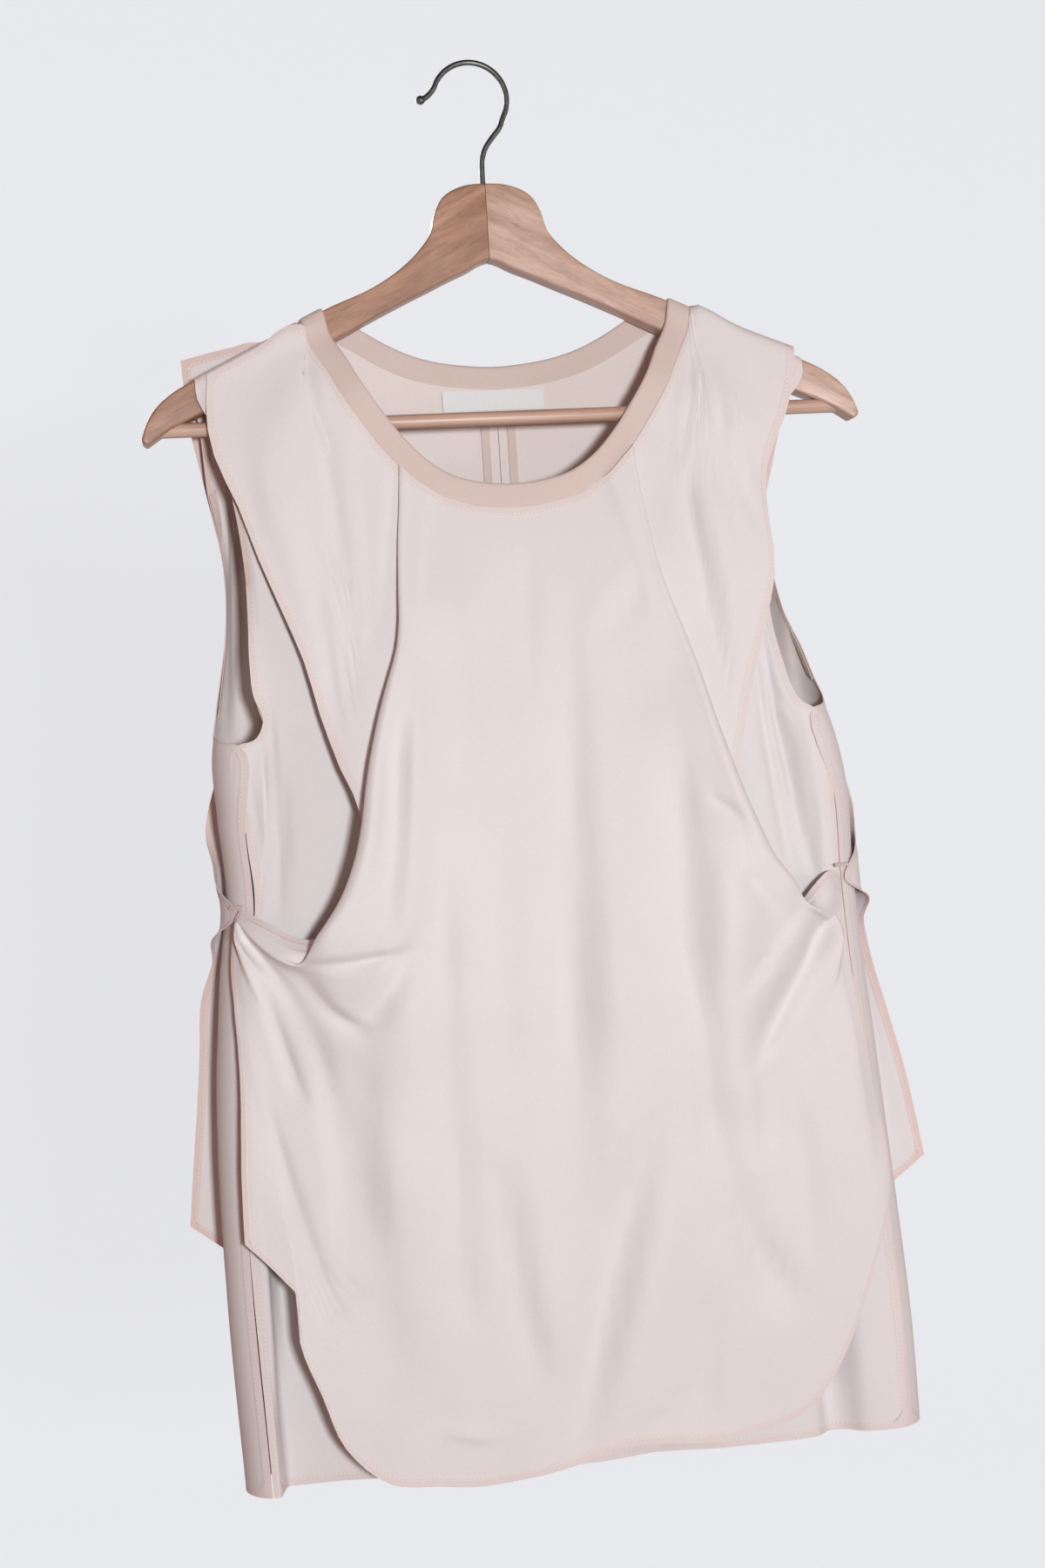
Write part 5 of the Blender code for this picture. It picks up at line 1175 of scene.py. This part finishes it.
OVERLAY_CREASES = table(Crease, (
    # left wing
    (-112, -205, -110, -262, -103, -330, 9, -4.2), (-134, -327, -115, -334, -92, -320, 3.5, -2.3),
    (-136, -318, -114, -324, -96, -312, 5, 1.6), (-116, -340, -117, -356, -115, -376, 4, -2.1),
    (-97, -352, -106, -370, -117, -388, 4, -2.9), (-150, -225, -146, -262, -138, -300, 8, 1.6),
    (-80, -250, -80, -310, -86, -370, 7, 1.8),
    # right wing
    (104, -225, 122, -213, 156, -216, 3.5, -2.3), (106, -233, 124, -222, 152, -224, 5, 1.7),
    (102, -206, 112, -190, 130, -180, 6, -2.1), (127, -222, 141, -250, 149, -292, 8, -6.0),
    (117, -240, 125, -266, 138, -302, 5, -2.3), (98, -262, 104, -252, 116, -243, 5, 1.7),
    (103, -262, 106, -315, 122, -392, 5, -4.6), (116, -262, 119, -310, 130, -360, 7, 2.2),
    # middle, from the neck down
    (6, -300, 4, -350, -3, -400, 5, -2.0), (-9, -380, -7, -400, -5, -424, 3, 1.8),
    (-50, -418, -48, -434, -45, -452, 3.5, -2.1), (36, -347, 50, -328, 66, -314, 4, 2.1),
    (44, -355, 58, -337, 72, -324, 5, -2.1), (82, -428, 85, -500, 82, -580, 10, -5.5),
    (87, -531, 82, -590, 95, -690, 8, -6.0), (93, -675, 107, -730, 142, -760, 9, -6.2),
    (86, -660, 92, -705, 112, -742, 6, 3.4), (104, -480, 106, -560, 110, -640, 16, 5.2),
    (-62, -470, -66, -560, -64, -650, 13, -5.5), (-60, -640, -68, -693, -60, -745, 6, -4.7),
    (-36, -655, -34, -725, -18, -795, 7, -3.6), (-22, -650, -20, -725, -6, -790, 9, 3.1),
    (10, -500, 6, -600, 14, -700, 16, -5.9), (50, -650, 30, -735, -3, -836, 9, -5.6),
    (66, -660, 48, -745, 20, -830, 13, 5.0), (85, -745, 81, -785, 76, -822, 6, -3.9),
    (-30, -290, -32, -380, -26, -480, 12, 2.6), (36, -400, 38, -520, 34, -640, 16, 5.2),
    (-8, -430, -10, -520, -16, -620, 14, 3.2), (26, -345, 22, -420, 18, -500, 10, -3.1),
    (47, -823, 56, -808, 64, -798, 4, -2.0), (-77, -808, -63, -818, -48, -815, 4, 2.0),
    # left swag and tail
    (-143, -533, -115, -537, -84, -529, 3.5, -3.9), (-145, -534, -132, -572, -110, -573, 5, -4.4),
    (-114, -574, -94, -560, -80, -520, 7, -6.0), (-137, -572, -126, -607, -135, -640, 5, -3.1),
    (-172, -600, -158, -677, -134, -740, 6, -2.3), (-150, -733, -137, -727, -122, -716, 5, -1.8),
    (-124, -600, -130, -650, -128, -700, 6, -3.1), (-112, -590, -116, -640, -113, -702, 10, -3.9),
    (-166, -540, -161, -570, -147, -613, 4.5, -2.6), (-171, -532, -166, -558, -160, -600, 4, 1.8),
    (-69, -378, -70, -440, -84, -525, 7, 3.9), (-82, -398, -84, -450, -96, -516, 8, -4.4),
    (-104, -620, -96, -690, -88, -770, 16, 4.2),
    # right swag and tail
    (176, -528, 150, -566, 118, -612, 8, -7.2), (160, -520, 140, -548, 112, -580, 8, 3.1),
    (119, -549, 132, -552, 146, -551, 3.5, -2.1), (98, -452, 108, -456, 117, -469, 3, -2.1),
    (116, -497, 124, -510, 137, -523, 5, -2.6), (124, -612, 128, -636, 126, -668, 6, -3.1),
    (112, -622, 110, -652, 116, -694, 8, 3.4), (150, -600, 152, -650, 160, -702, 13, 3.1),
    (146, -640, 152, -690, 150, -740, 9, -2.9), (172, -560, 178, -620, 184, -690, 7, 2.1),
))

wing_left, folds_left = overlay_side(EDGE_LEFT, INNER_LEFT, SWAG_LEFT, -1)
wing_right, folds_right = overlay_side(EDGE_RIGHT, INNER_RIGHT, SWAG_RIGHT, 1)
ribs = [chain(rail, STRETCHES) for rail in (RIDGE_LEFT, CENTRE, RIDGE_RIGHT)]
DRAPE_SPANS, DRAPE_STEPS, FRONT_STEPS = 4, 4, (14, 4)
# the drape lies one layer off the tank at the neck, and three from here outward, over the pleats
PLEAT_STARTS, PLEAT_RISE = {-1: 44.0, 1: 50.0}, 9.0
drape = smooth_spans(np.stack([folds_left[:, -1], *ribs, folds_right[:, -1]]), DRAPE_STEPS).transpose(1, 0, 2)
rows = len(drape)
seam = np.array([
    (x, neck_height(x), LAYER + 2 * LAYER * smoothstep((abs(x) - PLEAT_STARTS[math.copysign(1, x)]) / PLEAT_RISE))
    for x in drape[0, :, 0]])
fade = np.clip(1 - np.arange(rows) / SEAM_ROWS, 0, 1)[:, None, None]
drape += fade * (seam - drape[0])
edge = chain((HEM_FRONT[:5], HEM_FRONT[4:7], HEM_FRONT[6:10], HEM_FRONT[9:]), [DRAPE_STEPS] * DRAPE_SPANS)
rise = np.clip((np.arange(rows) - (rows - HEM_ROWS)) / (HEM_ROWS - 1), 0, 1)[:, None, None] ** 1.5
drape[:, 1:-1, :2] += rise * (edge - drape[-1, :, :2])[1:-1]
for point in drape[:, 1:-1].reshape(-1, 3):
    point[2] -= fold_depth(point[0], point[1], DRAPE_FOLDS)
plan = np.concatenate([wing_left, folds_left, drape[:, 1:-1], folds_right[:, ::-1], wing_right[:, ::-1]], axis=1)
grid = np.array([[standing_point(x, z, off) for x, z, off in row] for row in plan])
overlay, (width, length, area) = hang(
    "front_overlay", grid, -1, BLUSH, FRONT_STEPS, turn_rows=STRETCHES[0], creases=OVERLAY_CREASES,
    hems=("left", "right", "foot", "top"))


# ---------------------------------------------------------------- back overlay
# The same crepe again, sewn in with the neck band. At the waist each edge is drawn forward round the tank's side to
# meet the front overlay, and below it the edge falls as a narrow tail.

# Each side of the back overlay leaves the back at an inner line and runs out to its free edge, curling forward.
Strip = namedtuple("Strip", "z inner reach turn")
STRIP_LEFT = table(Strip, (
    (-176, 150, 39, 0), (-210, 150, 37, 0), (-246, 147, 33, 0), (-290, 142, 30, 5), (-345, 138, 26, 10),
    (-400, 145, 26, 10), (-427, 152, 33, 5), (-455, 160, 32, 15), (-478, 163, 34, 75), (-493, 161.5, 52, 112),
    (-503, 161.5, 64, 140), (-512, 164, 52, 110), (-530, 168, 27, 45), (-545, 170, 31, 25), (-556, 171, 30, 15),
    (-597, 172, 32, 8), (-633, 173, 35, 4), (-690, 176, 40, 0),
))
STRIP_RIGHT = table(Strip, (
    (-188, 148, 33, 0), (-246, 140, 30, 0), (-290, 134, 26, 3), (-345, 132, 24, 5), (-400, 145, 30, 8),
    (-430, 162, 38, 8), (-455, 170, 36, 15), (-480, 172, 45, 90), (-495, 175, 66, 140), (-506, 176, 73, 157),
    (-514, 177, 62, 125), (-530, 178, 36, 60), (-543, 179, 33, 30), (-586, 184, 38, 8), (-624, 186, 46, 0),
    (-688, 190, 53, 0),
))
STRIP_ROWS = (
    -176, -198, -218, -240, -264, -296, -345, -395, -430, -455, -474, -488, -503, -518, -534, -552, -592, -640,
    -690)
STRIP_COLUMNS = 6
STRIP_OFF, BACK_OFF = 3.5, 3.0           # how far the back overlay stands off the tank, at its sides and between
STRAIGHT_UP = 20.0                       # from here below an arm's top it goes straight up
EVEN_BELOW = 2.2                         # its columns are evenly spaced from 1 in this of its length down
BACK_STEPS = (10, 5)
HEM_BACK = table(Point, (
    (-216, -690), (-197, -705), (-180, -722), (-165, -760), (-145, -795), (-110, -830), (-50, -843), (0, -845),
    (60, -843), (120, -829), (158, -795), (178, -760), (192, -722), (222, -703), (243, -688),
))
BACK_SHOULDER_LEFT = table(Point, (
    (-189, -176), (-173, -172), (-154, -168), (-139, -163), (-120, -157),
))
BACK_SHOULDER_RIGHT = -4.3              # the right one, from the arm's top
BACK_DRAPE_FOLDS = table(Fold, (
    (-165, -503, -70, -560, 12, 5, 0), (-160, -500, -60, -430, 14, 4, 0), (-160, -510, -110, -640, 12, 5, 0),
    (175, -503, 80, -560, 12, 5, 0), (172, -500, 70, -430, 14, 4, 0), (172, -510, 120, -640, 12, 5, 0),
    (-20, -300, -35, -990, 26, 6, 0), (40, -360, 48, -990, 22, 5, 0),
))


def behind(x, z, off):
    """A point standing off the base's back that does not follow it over the arm."""
    if z > arm_top(x) - STRAIGHT_UP:
        return x, -SWEEP * abs(x) + ARM_BACK + off, z
    if abs(x) > half_width(x, z) - SIDE_ROUND:
        return x, round_side(x, z, off, 1), z
    return x, back_depth(x, z) + off, z


def strip_point(rows, side, z, share):
    """A point from the inner line (share 0) out to the free edge (share 1)."""
    inner, reach, turn = (read(rows, column, z) for column in (1, 2, 3))
    x, y, _ = behind(side * inner, z, STRIP_OFF)
    angle = math.radians(max(turn, 0.1))
    x += side * reach * math.sin(angle * share) / angle
    y -= reach * (1 - math.cos(angle * share)) / angle
    return x, y, z


BACK_OVERLAY_CREASES = table(Crease, (
    (-158, -496, -115, -522, -62, -536, 6.0, -4.4), (-160, -506, -122, -560, -84, -612, 6.0, -4.8),
    (-158, -490, -112, -470, -70, -438, 5.0, -3.6), (-160, -512, -140, -590, -128, -660, 5.0, 3.2),
    (166, -496, 120, -520, 70, -532, 6.0, -4.0), (168, -506, 128, -556, 92, -606, 6.0, -4.8),
    (166, -490, 118, -466, 76, -440, 5.0, -3.2), (170, -514, 150, -590, 140, -664, 5.0, 3.2),
    (-22, -290, -30, -500, -42, -820, 9.0, -4.4), (34, -300, 44, -520, 40, -820, 10.0, -4.8),
    (-78, -330, -84, -520, -80, -800, 12.0, 4.8), (88, -330, 92, -520, 94, -800, 12.0, 4.8),
    (6, -480, 2, -620, 8, -830, 12.0, 4.4), (-128, -620, -132, -700, -126, -790, 7.0, -4.0),
    (138, -620, 142, -700, 136, -790, 7.0, -4.0), (-110, -200, -92, -240, -60, -262, 7.0, -3.2),
    (104, -196, 90, -236, 62, -262, 7.0, -3.2), (-60, -226, 0, -252, 66, -224, 8.0, 2.4),
    (-140, -230, -132, -300, -134, -370, 6.0, -3.6), (136, -236, 128, -300, 130, -372, 6.0, -3.6),
    (-190, -560, -186, -620, -188, -680, 4.0, 2.4), (206, -560, 214, -620, 220, -676, 5.0, 2.4),
))

depth = np.array([(STRIP_ROWS[0] - z) / (STRIP_ROWS[0] - STRIP_ROWS[-1]) for z in STRIP_ROWS])
(hem_x, hem_z), (shoulder_x, shoulder_z) = zip(*HEM_BACK), zip(*BACK_SHOULDER_LEFT)
strips = {}
for side, strip in ((-1, STRIP_LEFT), (1, STRIP_RIGHT)):
    top_z, low_z = strip[0].z, strip[-1].z
    strips[side] = []
    for share in np.linspace(1, 0, STRIP_COLUMNS + 1):
        low = np.interp(strip_point(strip, side, low_z, share)[0], hem_x, hem_z)
        top_x = strip_point(strip, side, top_z, share)[0]
        high = np.interp(top_x, shoulder_x, shoulder_z) if side < 0 else arm_top(top_x) + BACK_SHOULDER_RIGHT
        column = []
        for drop in depth:
            # the strip's own row, stretched to reach the shoulder edge above and the hem below
            x, y, z = strip_point(strip, side, mix(top_z, low_z, drop), share)
            column.append((x, y, z + (1 - drop) ** 3 * (high - top_z) + drop**3 * (low - low_z)))
        strips[side].append(column)
inner_left, inner_right = np.array(strips[-1][-1]), np.array(strips[1][-1])
edge_left = [(x, np.interp(x, shoulder_x, shoulder_z)) for x in (-140, -128)]
edge_right = [(x, arm_top(x) + BACK_SHOULDER_RIGHT) for x in (126, 137)]
neck = neck_edge(NECK_BACK, NECK_BACK_STEPS)[2:-2] - (0, SEWN)
top = np.array([inner_left[0, (0, 2)], *edge_left, *neck, *edge_right, inner_right[0, (0, 2)]])
low = run(HEM_BACK[2:-2], len(top) - 1)
low[0], low[-1] = inner_left[-1, (0, 2)], inner_right[-1, (0, 2)]
shares = (top[:, 0] - top[0, 0]) / (top[-1, 0] - top[0, 0])
even = (low[:, 0] - low[0, 0]) / (low[-1, 0] - low[0, 0])
reach = smoothstep(from_ends(len(top)) / 3)
middle_rows = []
for i, drop in enumerate(depth):
    spread = mix(shares, even, smoothstep(drop * EVEN_BELOW))
    x = mix(inner_left[i, 0], inner_right[i, 0], spread)
    z = mix(mix(inner_left[i, 2], inner_right[i, 2], spread), mix(top[:, 1], low[:, 1], drop), reach)
    row = []
    for k in range(1, len(top) - 1):
        _, y, _ = behind(x[k], z[k], mix(STRIP_OFF, BACK_OFF, reach[k]))
        row.append((x[k], y + fold_depth(x[k], z[k], BACK_DRAPE_FOLDS), z[k]))
    middle_rows.append(row)
grid = np.concatenate([np.stack(strips[-1], axis=1), middle_rows, np.stack(strips[1][::-1], axis=1)], axis=1)
back_cloth, (width, length, area) = hang(
    "back_overlay", grid, 1, BLUSH, BACK_STEPS, creases=BACK_OVERLAY_CREASES,
    hems=("left", "right", "foot", "top"))


# ---------------------------------------------------------------- tacks
# A bar of close overcast stitches at each side of the waist, in peach thread, holds the corner of the front overlay
# to the edge of the back one.

TACK_LONG, TACK_THREAD, TACK_OUT, TACK_HEIGHT, TACK_TURNS = 12.0, 0.42, 1.35, -499.2, 9
TACK_DEEP, TACK_TALL, TACK_STEPS = 0.28, 0.85, 12
STRIP_CORNER = -503.0                    # height at which the back overlay's edge comes furthest forward

for node, side, rail, strip in (
        ("tack_left", -1, EDGE_LEFT, STRIP_LEFT), ("tack_right", 1, EDGE_RIGHT, STRIP_RIGHT)):
    start = np.array(standing_point(*rail[-1][0]))[:2]
    end = np.array(strip_point(strip, side, STRIP_CORNER, 1))[:2]
    along = (end - start) / np.linalg.norm(end - start)
    out = np.array([along[1], -along[0]]) * side
    turns = np.arange(TACK_STEPS * TACK_TURNS + 1) / TACK_STEPS
    travel = mix(-TACK_LONG / 2, TACK_LONG / 2, turns / TACK_TURNS)[:, None]
    depth = TACK_OUT + TACK_DEEP * np.cos(2 * math.pi * turns)[:, None]
    height = TACK_HEIGHT + TACK_TALL * np.sin(2 * math.pi * turns)[:, None]
    thread = np.concatenate([(start + end) / 2 + along * travel + out * depth, height], axis=1)
    fit(wire_piece(node + "_thread", thread, [TACK_THREAD] * len(thread), TACK_THREAD, 3), node, PEACH)


# ---------------------------------------------------------------- studio
# A pale floor that curves up into a pale wall all round, far enough off for a camera to go round the top.

STAGE_RADIUS, STAGE_CURVE, FLOOR_HEIGHT, STAGE_TOP, CURVE_STEPS = 4.5, 1.6, -1.75, 2.6, 12

bpy.ops.mesh.primitive_circle_add(vertices=96, radius=STAGE_RADIUS, location=(0, 0, STAGE_TOP))
studio = bpy.context.object
studio.name = "studio_floor"
alone(studio)
bpy.ops.object.mode_set(mode="EDIT")
bpy.ops.mesh.select_all(action="SELECT")
bpy.ops.mesh.extrude_edges_move(
    TRANSFORM_OT_translate={"value": (0, 0, FLOOR_HEIGHT + STAGE_CURVE - STAGE_TOP)})
for step in range(CURVE_STEPS):
    before, after = (math.radians(90 * k / CURVE_STEPS) for k in (step, step + 1))
    reach_before, reach_after = (STAGE_RADIUS - STAGE_CURVE * (1 - math.cos(turn)) for turn in (before, after))
    fall = STAGE_CURVE * (math.sin(after) - math.sin(before))
    bpy.ops.mesh.extrude_edges_move(TRANSFORM_OT_translate={"value": (0, 0, -fall)})
    bpy.ops.transform.resize(value=(reach_after / reach_before, reach_after / reach_before, 1))
bpy.ops.mesh.edge_face_add()
bpy.ops.mesh.select_all(action="SELECT")
bpy.ops.mesh.normals_make_consistent(inside=True)
bpy.ops.object.mode_set(mode="OBJECT")
bpy.ops.object.transform_apply(location=True, rotation=True, scale=True)
studio.data.shade_smooth()
paper, tree, shader = new_material(
    "studio_paper", Roughness=0.9, Base_Color=(0.82, 0.83, 0.84, 1), Emission_Color=(0.80, 0.93, 1.0, 1),
    Emission_Strength=0.68)
studio.data.materials.append(paper)
studio.visible_diffuse = False
studio.visible_shadow = False
studio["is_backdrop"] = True

# One small soft light stands close to the lens, on its right and a little above, so shadows fall thin and to the
# left. Wide soft lights behind and beside the top show its back. Warm light fills from all round.
KEY_RIGHT, KEY_UP, KEY_BACK = 0.38, 0.04, 0.6
KEY_TINT, BACK_TINT = (0.93, 1.0, 1.0), (0.94, 1.0, 1.0)
AIR_TINT, AIR_STRENGTH = (1.0, 0.56, 0.46, 1), 0.25
LIT = Vector((0, 0, -0.46))              # the garment's middle, where each light points


def soft_light(name, place, size, power, spread, colour):
    bpy.ops.object.light_add(type="AREA", location=place)
    lamp = bpy.context.object
    lamp.name = name
    lamp.data.size = size
    lamp.data.energy = power
    lamp.data.color = colour
    lamp.data.spread = math.radians(spread)
    lamp.rotation_euler = (lamp.location - LIT).to_track_quat("Z", "Y").to_euler()
    lamp.visible_camera = False


key_place = CAMERA_PLACE + camera_right * KEY_RIGHT + camera_up * KEY_UP + camera_back * KEY_BACK
soft_light("key_light", key_place, 0.2, 29.0, 180, KEY_TINT)
soft_light("side_light", (1.7, -1.15, -0.45), 0.5, 2.1, 120, KEY_TINT)
soft_light("back_light_left", (-0.8, 2.6, 0.5), 0.9, 3.7, 50, BACK_TINT)
soft_light("back_light_right", (1.1, 2.5, 0.4), 0.9, 2.1, 50, BACK_TINT)

bpy.context.scene.view_settings.view_transform = "Standard"

around = bpy.context.scene.world or bpy.data.worlds.new("studio_air")
bpy.context.scene.world = around
around.use_nodes = True
air = around.node_tree.nodes["Background"]
air.inputs["Color"].default_value = AIR_TINT
air.inputs["Strength"].default_value = AIR_STRENGTH


# ---------------------------------------------------------------- size
# The bounds of the dressed model, leaving out the backdrop.

low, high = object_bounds()
